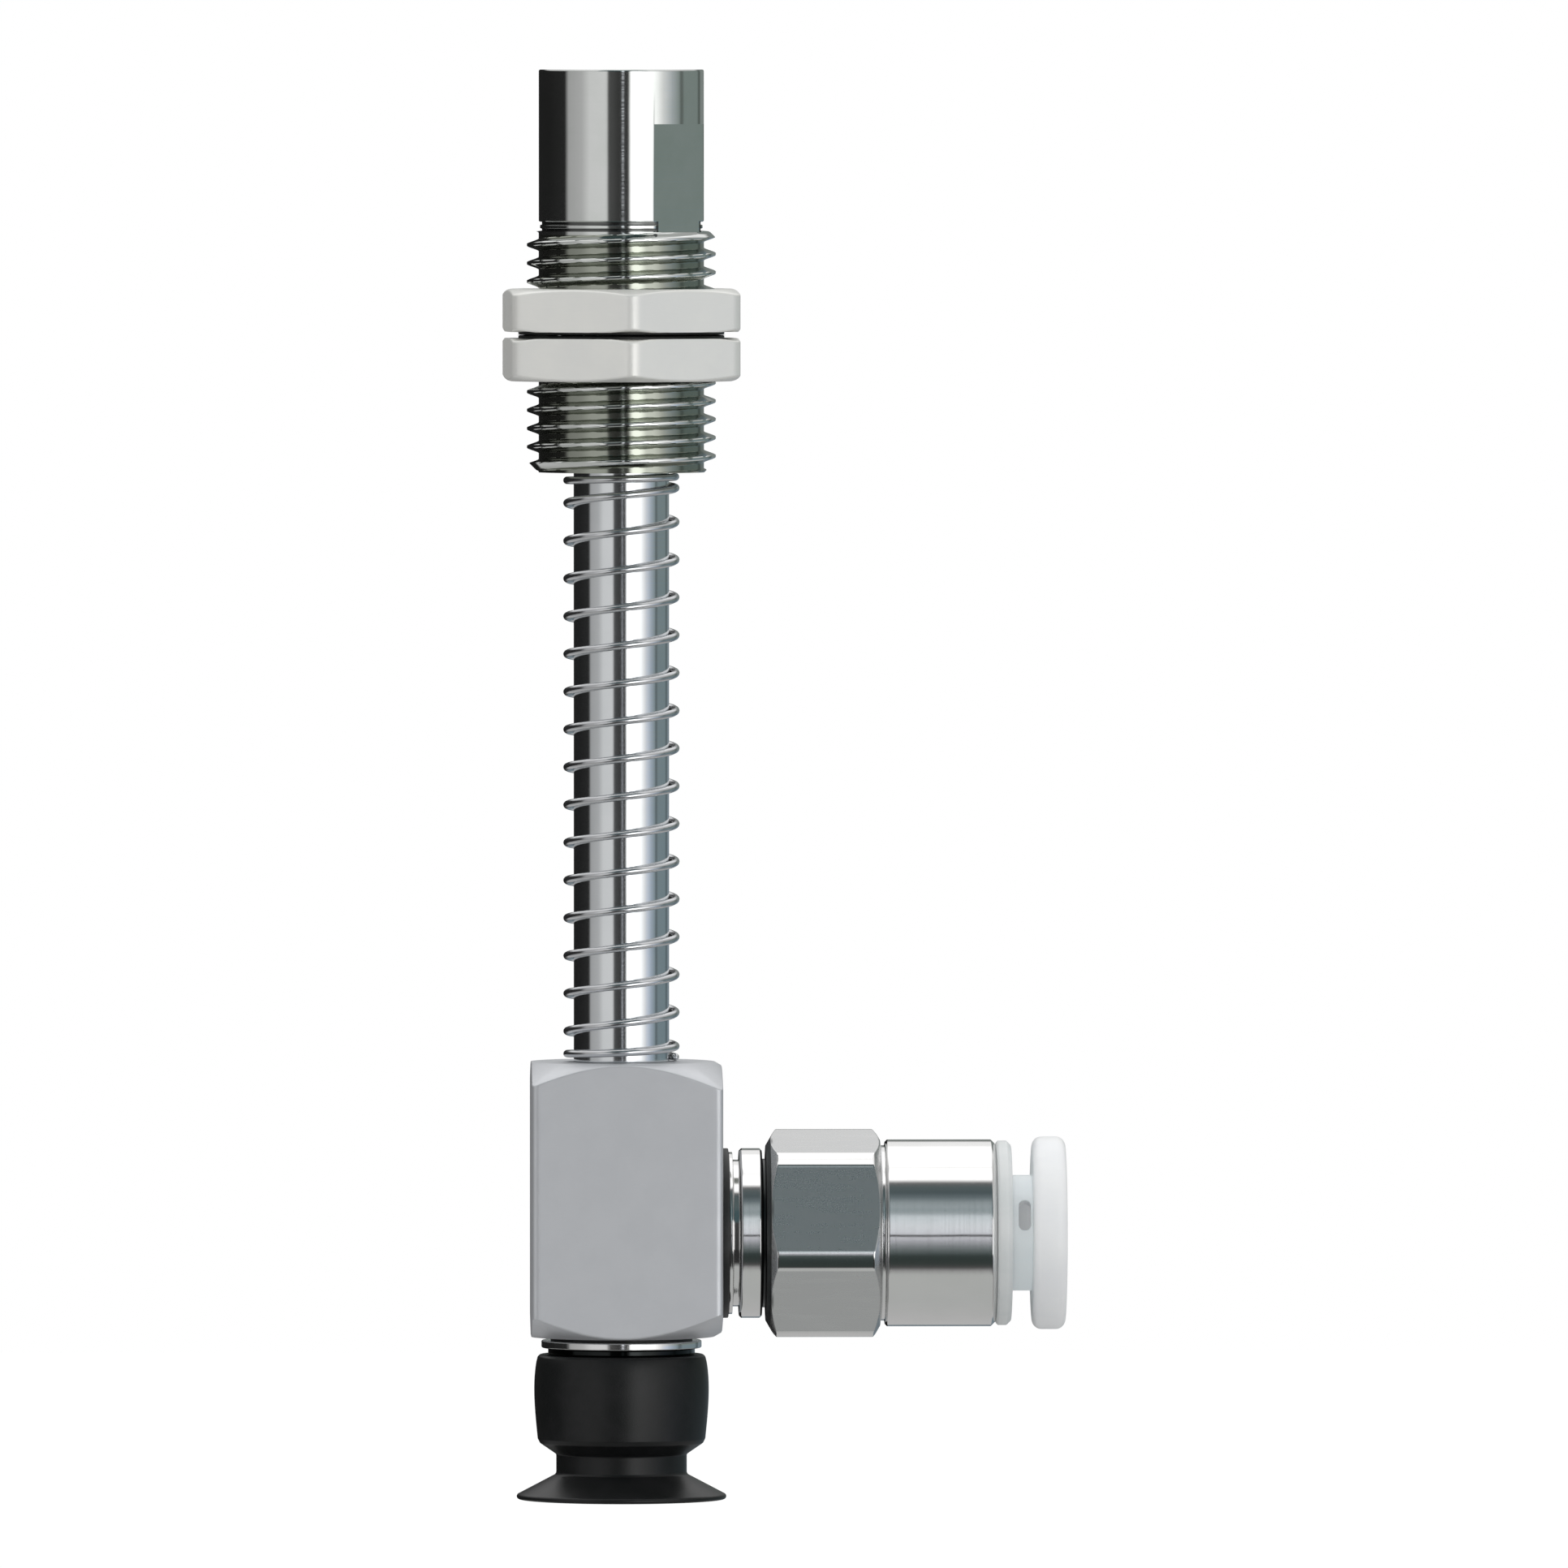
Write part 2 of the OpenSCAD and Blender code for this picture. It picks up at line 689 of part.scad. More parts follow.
// Rubber cup: a sleeve over the nipple, a short neck and a wide thin lip
module suction_cup() {
    sleeve_or = sleeve_d / 2;
    neck_r = cup_neck_d / 2;
    lip_r = cup_d / 2;
    flare_z = lip_t - cup_h + flare_h;
    shoulder_h = (sleeve_or - neck_r) * 0.6;
    shoulder_r = 2 * edge;
    tip_z = -nipple_len - seat_fit;
    barb_top = -nipple_len / 4;
    under_r = throat_d / 2 + 3 * edge;
    land_r = lip_r - lip_t - 3 * edge;
    wall_steps = 8;
    bulge = [for (i = [0 : wall_steps]) let (u = i / wall_steps)
        [sleeve_or + sleeve_bulge * sin(180 * pow(u, 0.75)), -edge - u * (sleeve_len - shoulder_r - edge)]];
    flare = [[neck_r, flare_z + edge], [neck_r + edge / 2, flare_z], [lip_r - lip_t / 2, lip_t - cup_h]];
    color([0.12, 0.12, 0.13]) under_block() translate([0, 0, cup_z]) turned(concat(
        [[nipple_d / 2 + seat_fit, 0], [sleeve_or - edge, 0]],
        bulge,
        [[sleeve_or - shoulder_r / 2, -sleeve_len], [neck_r, -sleeve_len - shoulder_h]],
        flare,
        arc([lip_r - lip_t / 2, lip_t / 2 - cup_h], lip_t / 2, 60, -90, 6),
        [[land_r, -cup_h], [under_r, flare_z - edge], [throat_d / 2, flare_z],
         [throat_d / 2, tip_z], [nipple_d / 2 + seat_fit, tip_z],
         [barb_d / 2 + seat_fit, barb_top - 3 * edge], [barb_d / 2 + seat_fit, barb_top - edge],
         [nipple_d / 2 + seat_fit, barb_top]]
    ));
}

guide_bushing();
guide_bush_upper();
guide_bush_lower();
lock_nut_upper();
lock_nut_lower();
stop_bumper();
stop_washer();
retaining_clip();
stem_rod();
compression_spring();
vacuum_block();
fitting_gasket();
gasket_backing_ring();
fitting_body();
tube_seal();
seal_backup_ring();
grip_claw();
claw_guide();
release_ring();
adapter_gasket();
cup_adapter();
suction_cup();
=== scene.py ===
"""Suction cup level compensator: the dressed pieces, their finishes, the studio and the camera.

Lengths are in millimetres until a mesh is made. Every piece starts from the box of its solid in the frame.
"""
from math import acos, atan2, cos, degrees, hypot, pi, radians, sin, sqrt, tan

import bmesh
import bpy
import numpy as np
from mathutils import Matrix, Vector


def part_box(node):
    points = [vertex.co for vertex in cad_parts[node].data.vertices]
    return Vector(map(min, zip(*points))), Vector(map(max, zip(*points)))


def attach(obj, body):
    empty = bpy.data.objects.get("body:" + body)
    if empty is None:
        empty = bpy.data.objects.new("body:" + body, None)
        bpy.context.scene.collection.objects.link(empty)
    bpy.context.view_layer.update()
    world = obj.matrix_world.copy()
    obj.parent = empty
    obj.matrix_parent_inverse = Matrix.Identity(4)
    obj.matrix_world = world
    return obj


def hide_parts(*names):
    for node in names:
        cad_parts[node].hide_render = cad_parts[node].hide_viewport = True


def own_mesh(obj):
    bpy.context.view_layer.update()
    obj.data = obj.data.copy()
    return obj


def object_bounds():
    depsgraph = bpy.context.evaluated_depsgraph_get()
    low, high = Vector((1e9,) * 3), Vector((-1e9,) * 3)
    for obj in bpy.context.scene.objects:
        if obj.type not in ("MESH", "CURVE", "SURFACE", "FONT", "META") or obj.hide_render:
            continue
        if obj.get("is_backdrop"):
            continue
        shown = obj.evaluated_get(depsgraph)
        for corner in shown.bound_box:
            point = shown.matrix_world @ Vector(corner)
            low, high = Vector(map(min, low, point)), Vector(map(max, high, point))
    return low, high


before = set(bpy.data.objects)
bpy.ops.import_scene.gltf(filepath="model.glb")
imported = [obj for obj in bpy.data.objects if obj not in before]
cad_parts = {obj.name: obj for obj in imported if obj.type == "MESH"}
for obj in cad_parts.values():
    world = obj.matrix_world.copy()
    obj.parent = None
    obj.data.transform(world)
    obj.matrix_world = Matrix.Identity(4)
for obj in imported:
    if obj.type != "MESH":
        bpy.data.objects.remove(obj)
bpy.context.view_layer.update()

MM = 0.001
scene = bpy.context.scene


# ---------------------------------------------------------------- camera

CAMERA_TURN = radians(-1.2)
CAMERA_RISE = radians(1.54)
CAMERA_REACH = 1.4
FIELD = 0.0822
SENSOR = 36
AIM_SHIFT = Vector((0.000003, 0, 0.00003))


def studio_camera():
    """A long lens a little left of the front and a little above the middle."""
    low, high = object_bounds()
    aim = (low + high) / 2 + AIM_SHIFT
    lens = bpy.data.cameras.new("studio_camera")
    lens.sensor_width = SENSOR
    lens.lens = SENSOR * CAMERA_REACH / FIELD
    camera = bpy.data.objects.new("studio_camera", lens)
    scene.collection.objects.link(camera)
    level = cos(CAMERA_RISE)
    back = Vector((sin(CAMERA_TURN) * level, -cos(CAMERA_TURN) * level, sin(CAMERA_RISE)))
    camera.location = aim + CAMERA_REACH * back
    camera.rotation_euler = back.to_track_quat("Z", "Y").to_euler()
    scene.camera = camera


studio_camera()


# ---------------------------------------------------------------- shader sheets

class Wire:
    """One output socket; arithmetic on it adds Math nodes."""

    def __init__(self, sheet, socket):
        self.sheet, self.socket = sheet, socket

    def math(self, operation, *others):
        return self.sheet.add("ShaderNodeMath", {"operation": operation}, dict(enumerate((self, *others))))

    def __add__(self, other):
        return self.math("ADD", other)

    def __sub__(self, other):
        return self.math("SUBTRACT", other)

    def __rsub__(self, other):
        return self.sheet.add("ShaderNodeMath", {"operation": "SUBTRACT"}, {0: other, 1: self})

    def __mul__(self, other):
        return self.math("MULTIPLY", other)

    def __truediv__(self, other):
        return self.math("DIVIDE", other)

    def __neg__(self):
        return self.math("MULTIPLY", -1)

    def __abs__(self):
        return self.math("ABSOLUTE")

    __radd__ = __add__
    __rmul__ = __mul__


class Sheet:
    """A node tree that is filled through one method."""

    def __init__(self, tree):
        self.tree = tree
        tree.nodes.clear()

    def add(self, kind, settings=None, inputs=None, out=0):
        """Adds a node: its settings first, then the values or links of its sockets; returns one output."""
        node = self.tree.nodes.new(kind)
        for key, value in (settings or {}).items():
            if key == "stops":
                self.set_stops(node.color_ramp, value)
            else:
                setattr(node, key, value)
        for key, value in (inputs or {}).items():
            socket = node.inputs[key]
            if isinstance(value, Wire):
                self.tree.links.new(value.socket, socket)
            else:
                socket.default_value = value
        return Wire(self, node.outputs[out]) if node.outputs else None

    def set_stops(self, ramp, stops):
        while len(ramp.elements) > 1:
            ramp.elements.remove(ramp.elements[-1])
        for index, (place, colour) in enumerate(stops):
            element = ramp.elements[0] if index == 0 else ramp.elements.new(place)
            element.position = place
            element.color = (*rgb(colour), 1)

    def along(self, axis):
        """Where a point lies along X, Y or Z, as 0, 1 or 2."""
        return self.add("ShaderNodeSeparateXYZ", {}, {0: self.place()}, axis)

    def reach(self, keep=(1, 1, 0), axis=(0, 0, 0)):
        """How far a point is from an axis: keep has 1 for the two directions across it."""
        across = self.add("ShaderNodeVectorMath", {"operation": "SUBTRACT"}, {0: self.place(keep), 1: axis})
        return self.add("ShaderNodeVectorMath", {"operation": "LENGTH"}, {0: across}, 1)

    def ramp(self, amount, stops, **settings):
        return self.add("ShaderNodeValToRGB", {"stops": stops, **settings}, {0: amount})

    def rise(self, amount, start, end, low=0.0, high=1.0):
        """A smooth step from low at start to high at end."""
        values = {"Value": amount, "From Min": start, "From Max": end, "To Min": low, "To Max": high}
        return self.add("ShaderNodeMapRange", {"interpolation_type": "SMOOTHSTEP"}, values)

    def blend(self, share, first, second, kind="MIX"):
        """Colour between first at 0 and second at 1."""
        colours = {6: four(first), 7: four(second)}
        return self.add(
            "ShaderNodeMix", {"data_type": "RGBA", "blend_type": kind}, {0: share, **colours}, 2
        )

    def place(self, scale=(1, 1, 1)):
        """Where a point is on its piece, in millimetres, stretched by scale."""
        here = self.add("ShaderNodeTexCoord", out=3)
        stretched = tuple(value / MM for value in scale)
        return self.add("ShaderNodeVectorMath", {"operation": "MULTIPLY"}, {0: here, 1: stretched})

    def noise(self, where, scale, detail=2.0, roughness=0.5):
        values = {"Vector": where, "Scale": scale, "Detail": detail, "Roughness": roughness}
        return self.add("ShaderNodeTexNoise", {}, values)

    def bump(self, height, strength, depth, below=None):
        """A small relief of that depth in millimetres."""
        values = {"Height": height, "Strength": strength, "Distance": depth * MM}
        if below:
            values["Normal"] = below
        return self.add("ShaderNodeBump", {}, values)


def rgb(colour):
    """A grey number or a colour as three numbers."""
    return (colour,) * 3 if isinstance(colour, (int, float)) else tuple(colour)


def four(colour):
    return colour if isinstance(colour, Wire) else (*rgb(colour), 1)


# ---------------------------------------------------------------- studio

FLOOR_DROP = 14
FLOOR_SIZE = 900
LIGHT_LEVEL = 0.8
LIGHT_FROM_ABOVE = 0.33
GAP_TURN = 1.4

# What polished metal sees all round at eye level, by the direction in degrees from the front, right positive
ROUND_THE_ROOM = [
    (-180, 0.013), (-120, 0.013), (-86.5, 0.02), (-80, 0.40), (-69, 0.43), (-58, 0.47), (-50, 0.60),
    (-46, 0.67), (-24, 0.69), (-21.5, 0.66), (-18.2, 0.08), (-12, 0.065), (-5, 0.042), (8.5, 0.045),
    (12, 1.0), (14, 2.4), (26, 2.4), (34, 1.4), (47, 1.3), (60, 0.78), (75, (0.43, 0.46, 0.47)),
    (88, (0.25, 0.29, 0.275)), (91, (0.13, 0.15, 0.14)), (95, (0.13, 0.15, 0.14)),
    (98, (0.21, 0.25, 0.235)), (132, (0.2, 0.24, 0.225)), (138, (0.10, 0.12, 0.11)),
    (142, (0.10, 0.12, 0.11)), (146, (0.22, 0.25, 0.24)), (180, (0.2, 0.22, 0.21)),
]
# What it sees straight ahead, in a narrow gap beside the camera, from straight down to straight up
GAP_FROM_BELOW = [
    (-90, (0.46, 0.47, 0.465)), (-50, (0.465, 0.477, 0.465)), (-45, 0.34), (-41.5, 0.09),
    (-37, (0.045, 0.055, 0.052)), (-31, (0.035, 0.048, 0.045)), (-26, (0.042, 0.058, 0.056)),
    (-20, (0.13, 0.158, 0.16)), (-14, (0.265, 0.29, 0.305)), (-8, (0.49, 0.50, 0.54)),
    (-2, (0.76, 0.775, 0.83)), (4, (0.80, 0.83, 0.88)), (10, (0.84, 0.88, 0.92)),
    (16, (0.80, 0.86, 0.90)), (22, (0.72, 0.78, 0.82)), (27, (0.40, 0.45, 0.47)),
    (30, (0.345, 0.40, 0.42)), (35, (0.38, 0.43, 0.45)), (40, (0.32, 0.37, 0.385)),
    (46, (0.15, 0.185, 0.20)), (53, (0.072, 0.096, 0.104)), (61, (0.09, 0.115, 0.12)), (67, 0.14),
    (72, 1.35), (90, 1.35),
]
# What it sees from straight down to straight up elsewhere in front
FRONT_FROM_BELOW = [
    (-90, (0.46, 0.47, 0.465)), (-52, (0.46, 0.47, 0.465)), (-45, 0.03), (-22, 0.03),
    (10, (0.05, 0.09, 0.10)), (36, (0.05, 0.09, 0.10)), (42, (0.085, 0.12, 0.125)),
    (62, (0.08, 0.105, 0.11)), (67, 0.14), (72, 1.35), (90, 1.35),
]
# And in every other direction
SIDES_FROM_BELOW = [
    (-90, (0.46, 0.47, 0.465)), (-40, (0.44, 0.44, 0.43)), (-30, 0.3), (30, 0.5), (50, 0.8), (70, 1.0),
    (90, 1.0),
]
# Behind the object
BACK_FROM_BELOW = [
    (-90, (0.46, 0.47, 0.465)), (-50, 0.49), (-25, 0.5), (-10, 0.3), (0, 0.2), (20, 0.2), (26, 0.93),
    (40, 0.97), (46, 1.35), (90, 1.35),
]


def studio_world():
    """A white tent with dark flags, seen by polished metal, and plain soft light on everything else."""
    world = bpy.data.worlds.new("studio")
    scene.world = world
    world.use_nodes = True
    sheet = Sheet(world.node_tree)
    heading = sheet.add("ShaderNodeTexCoord", out=0)
    split = sheet.add("ShaderNodeSeparateXYZ", {}, {0: heading})
    x, y, z = (Wire(sheet, split.socket.node.outputs[i]) for i in range(3))
    turn = x.math("ARCTAN2", -y) * (180 / pi)
    rise = z.math("ARCSINE") * (180 / pi)

    def by_turn(stops):
        return sheet.ramp(turn / 360 + 0.5, [(a / 360 + 0.5, c) for a, c in stops])

    def by_rise(stops):
        return sheet.ramp(rise / 180 + 0.5, [(a / 180 + 0.5, c) for a, c in stops])

    cool = sheet.rise(turn, 55, 70) * sheet.rise(rise, -0.7, -1.2)
    room = sheet.blend(cool, by_turn(ROUND_THE_ROOM), (0.93, 1.02, 1.20), "MULTIPLY")
    from_front = abs(turn - 2)
    front = sheet.rise(from_front, 34, 42, 1, 0)
    behind = sheet.rise(from_front, 120, 150)
    beyond = sheet.blend(front, by_rise(SIDES_FROM_BELOW), by_rise(FRONT_FROM_BELOW))
    beyond = sheet.blend(behind, beyond, by_rise(BACK_FROM_BELOW))
    level = sheet.rise(abs(rise + 2), 20, 23, 1, 0)
    seen = sheet.blend(level, beyond, room)
    aside = abs(x * (180 / pi) - GAP_TURN) * y.math("LESS_THAN", 0) + y.math("GREATER_THAN", 0) * 90
    width = 2.2 * sheet.rise(abs(rise + 1.05), 1.1, 1.5) - 0.6
    seen = sheet.blend(sheet.rise(aside - width, 0, 0.4, 1, 0), seen, by_rise(GAP_FROM_BELOW))

    plain = sheet.blend(1, LIGHT_LEVEL + z * LIGHT_FROM_ABOVE, (1.0, 1.0, 1.0), "MULTIPLY")
    ray = sheet.add("ShaderNodeLightPath")
    outputs = ray.socket.node.outputs
    camera, glossy, through = (
        Wire(sheet, outputs[f"Is {kind} Ray"]) for kind in ("Camera", "Glossy", "Transmission"))
    shown = sheet.blend((glossy + through).math("MINIMUM", 1), plain, seen)
    shown = sheet.blend(camera, shown, 1.0)
    background = sheet.add("ShaderNodeBackground", {}, {"Color": shown, "Strength": 1.0})
    sheet.add("ShaderNodeOutputWorld", {}, {"Surface": background})


def studio_floor():
    """A pale floor under the object that keeps its soft shadow."""
    low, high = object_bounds()
    middle = (low + high) / 2
    half = FLOOR_SIZE * MM / 2
    mesh = bpy.data.meshes.new("studio_floor")
    corners = [(middle.x + sx * half, middle.y + sy * half, low.z - FLOOR_DROP * MM)
               for sx, sy in ((-1, -1), (1, -1), (1, 1), (-1, 1))]
    mesh.from_pydata(corners, [], [(0, 1, 2, 3)])
    floor = bpy.data.objects.new("studio_floor", mesh)
    scene.collection.objects.link(floor)
    paint = bpy.data.materials.new("studio_floor")
    paint.use_nodes = True
    sheet = Sheet(paint.node_tree)
    ray = sheet.add("ShaderNodeLightPath", out="Is Camera Ray")
    matt = sheet.add("ShaderNodeBsdfDiffuse", {}, {"Color": four(0.55)})
    glow = sheet.add("ShaderNodeEmission", {}, {"Color": four(0.46), "Strength": ray})
    both = sheet.add("ShaderNodeAddShader", {}, {0: matt, 1: glow})
    sheet.add("ShaderNodeOutputMaterial", {}, {"Surface": both})
    mesh.materials.append(paint)
    floor.visible_glossy = False
    floor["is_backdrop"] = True


studio_world()
studio_floor()
scene.view_settings.view_transform = "Standard"


# ---------------------------------------------------------------- finishes

# The thread's roots are dull, with painted shade, below this height, and the relief above it is darkened with
# painted shade
ROOTS_END = 5.25
RELIEF_SPAN = (5.3, 5.96)
RELIEF_SHADE = (0.14, 0.145, 0.14)
# Half the length of the hexagon that is streaked, and its colours; the seat, undercut and nut joint colours
# are painted shade, and the sleeve colour is painted light
HEX_HALF_STREAKED = 3.05
FLAT_TINT = (0.62, 0.625, 0.625)
SEAT_SHADE = (0.07, 0.075, 0.075)
UNDERCUT_SHADE = (0.02, 0.022, 0.022)
NUT_JOINT_SHADE = (0.045, 0.047, 0.045)
SLEEVE_PAINTED_LIGHT = (0.105, 0.125, 0.13)


def finish(name, sheet_of, **constants):
    """A material: what varies comes from sheet_of as sockets of the shader, and the rest is set on it."""
    material = bpy.data.materials.new(name)
    material.use_nodes = True
    sheet = Sheet(material.node_tree)
    shader = sheet.add("ShaderNodeBsdfPrincipled", {}, {**constants, **sheet_of(sheet)})
    sheet.add("ShaderNodeOutputMaterial", {}, {"Surface": shader})
    return material


def polished(tint, deep, roughness, turning, waviness, along=2):
    """Bright plating over turned metal: fine rings across the axis `along`, faint clouds, soft waviness."""
    def build(sheet):
        rings = [0.06, 0.06, 0.06]
        rings[along] = 9
        ring = sheet.noise(sheet.place(rings), 1.0, 3.0, 0.6)
        cloud = sheet.noise(sheet.place(), 0.35, 3.0, 0.55)
        speck = sheet.noise(sheet.place(), 6.0, 2.0, 0.5)
        worn = sheet.rise(cloud, 0.38, 0.68)
        wave = sheet.bump(sheet.noise(sheet.place(), 0.5, 1.0), 1.0, waviness)
        return {
            "Base Color": sheet.blend(worn * 0.6 + ring * 0.3, tint, deep),
            "Roughness": roughness * (0.7 + ring * 0.4 + speck * 0.2),
            "Normal": sheet.bump(ring, 1.0, turning, wave),
        }
    return build


def threaded(tint, deep, root, roughness, turning, waviness):
    """The same plating on the guide, with painted shade: dull and olive in the roots of its thread, dark in
    the relief under its neck.
    """
    plain = polished(tint, deep, roughness, turning, waviness)

    def build(sheet):
        values = plain(sheet)
        reach, height = sheet.reach(), sheet.along(2)
        # painted shade: the roots of the thread are darkened and tinted olive
        root_shade = sheet.rise(reach, 4.46, 4.8, 1, 0) * height.math("LESS_THAN", ROOTS_END)
        low, high = RELIEF_SPAN
        # painted shade: the relief groove under the neck is darkened
        groove_shade = sheet.rise(reach, 4.19, 4.24, 1, 0) * sheet.rise(reach, 4.10, 4.13)
        groove_shade = groove_shade * height.math("GREATER_THAN", low) * height.math("LESS_THAN", high)
        colour = sheet.blend(root_shade, values["Base Color"], root)
        values["Base Color"] = sheet.blend(groove_shade, colour, RELIEF_SHADE)
        values["Roughness"] = values["Roughness"] + root_shade * 0.05 + groove_shade * 0.1
        return values
    return build


def milled(tint, deep, roughness, turning, waviness):
    """The same plating on the fitting, a little duller and streaked along the flats of its milled hexagon,
    with painted shade in a ring at the hexagon's seat and in the adapter's undercut.
    """
    plain = polished(tint, deep, roughness, turning, waviness, 0)
    low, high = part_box("fitting_body")
    axis_z = (low.z + high.z) / 2 / MM
    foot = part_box("vacuum_block")[0].z / MM

    def build(sheet):
        values = plain(sheet)
        station, height = sheet.along(0), sheet.along(2)
        reach = sheet.reach((0, 1, 1), (0, 0, axis_z))
        # painted shade: the adapter's undercut, which shares this finish, is darkened
        under = height.math("GREATER_THAN", foot - 0.97) * height.math("LESS_THAN", foot - 0.58)
        under = under * sheet.reach().math("LESS_THAN", 4.1)
        half = HEX_HALF_STREAKED
        flats = sheet.rise(station, HEX_MIDDLE - half - 0.05, HEX_MIDDLE - half)
        flats = flats * sheet.rise(station, HEX_MIDDLE + half, HEX_MIDDLE + half + 0.05, 1, 0)
        flats = flats * sheet.rise(reach, 5.47, 5.5, 1, 0)
        streak = sheet.noise(sheet.place((0.35, 2.2, 2.2)), 1.0, 3.0, 0.6)
        dull = flats * (0.75 + streak * 0.5)
        # painted shade: a dark ring on the hexagon's chamfer beside its seat
        painted_seat_shade = sheet.rise(station, HEX_MIDDLE - 3.3, HEX_MIDDLE - 3.22)
        painted_seat_shade = painted_seat_shade * sheet.rise(station, HEX_MIDDLE - 2.7, HEX_MIDDLE - 2.6, 1, 0)
        painted_seat_shade = painted_seat_shade * sheet.rise(reach, 4.96, 5.06, 1, 0)
        colour = sheet.blend(dull, values["Base Color"], FLAT_TINT)
        colour = sheet.blend(painted_seat_shade, colour, SEAT_SHADE)
        values["Base Color"] = sheet.blend(under, colour, UNDERCUT_SHADE)
        values["Roughness"] = values["Roughness"] + flats * (streak * 0.12 + 0.12) + painted_seat_shade * 0.2
        return values
    return build


def satin(tint, deep, roughness, grain, depth):
    """Matt-bright metal with a fine grain and soft clouds; grain is its stretch along X, Y and Z."""
    def build(sheet):
        lines = sheet.noise(sheet.place(grain), 1.0, 4.0, 0.65)
        cloud = sheet.noise(sheet.place(), 0.45, 3.0, 0.5)
        fleck = sheet.noise(sheet.place(), 9.0, 2.0, 0.6)
        return {
            "Base Color": sheet.blend(sheet.rise(cloud, 0.3, 0.7) * 0.6 + lines * 0.4, tint, deep),
            "Roughness": roughness * (0.75 + lines * 0.35 + cloud * 0.2),
            "Normal": sheet.bump(lines * 0.6 + fleck * 0.4, 1.0, depth),
        }
    return build


def washer_faced(tint, deep, roughness, grain, depth):
    """The same metal on a lock nut, with painted shade on the washer face that the other nut locks against.
    """
    plain = satin(tint, deep, roughness, grain, depth)

    def build(sheet):
        values = plain(sheet)
        # painted shade: the washer face near the joint between the nuts is darkened
        painted_joint_shade = sheet.rise(abs(sheet.along(2)), 0.17, 0.2, 1, 0) * sheet.rise(sheet.reach(), 5.75, 5.95, 1, 0)
        values["Base Color"] = sheet.blend(painted_joint_shade, values["Base Color"], NUT_JOINT_SHADE)
        return values
    return build


def rubber(tint, dusty, roughness, depth):
    """Moulded rubber: a fine matt grain with dust in soft patches."""
    def build(sheet):
        grain = sheet.noise(sheet.place(), 14.0, 3.0, 0.6)
        patch = sheet.noise(sheet.place(), 0.7, 4.0, 0.6)
        return {
            "Base Color": sheet.blend(sheet.rise(patch, 0.35, 0.75) * 0.7 + grain * 0.2, tint, dusty),
            "Roughness": roughness * (0.85 + patch * 0.2 + grain * 0.1),
            "Normal": sheet.bump(grain, 1.0, depth),
        }
    return build


def resin(tint, deep, roughness, depth):
    """Moulded resin: soft flow clouds and a faint pebble."""
    def build(sheet):
        flow = sheet.noise(sheet.place((0.5, 1, 1)), 0.5, 3.0, 0.5)
        pebble = sheet.noise(sheet.place(), 7.0, 2.0, 0.5)
        return {
            "Base Color": sheet.blend(sheet.rise(flow, 0.3, 0.7), tint, deep),
            "Roughness": roughness * (0.85 + flow * 0.3),
            "Normal": sheet.bump(pebble, 1.0, depth),
        }
    return build


def sleeve_painted_light(tint, deep, roughness, depth):
    """The resin of the release ring: its thin sleeve glows a little with painted light, an emission colour on
    its outside.
    """
    plain = resin(tint, deep, roughness, depth)
    low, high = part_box("release_ring")
    flange = high.x / MM - RING_THICKNESS
    axis_z = (low.z + high.z) / 2 / MM

    def build(sheet):
        values = plain(sheet)
        station = sheet.along(0)
        sleeve = sheet.rise(station, flange - 1.3, flange - 0.9)
        sleeve = sleeve * sheet.rise(station, flange - 0.05, flange, 1, 0)
        sleeve = sleeve * sheet.rise(sheet.reach((0, 1, 1), (0, 0, axis_z)), 2.92, 2.97)
        # painted light: emission on the outside of the sleeve
        values["Emission Color"] = sheet.blend(sleeve, 0.0, SLEEVE_PAINTED_LIGHT)
        return values
    return build


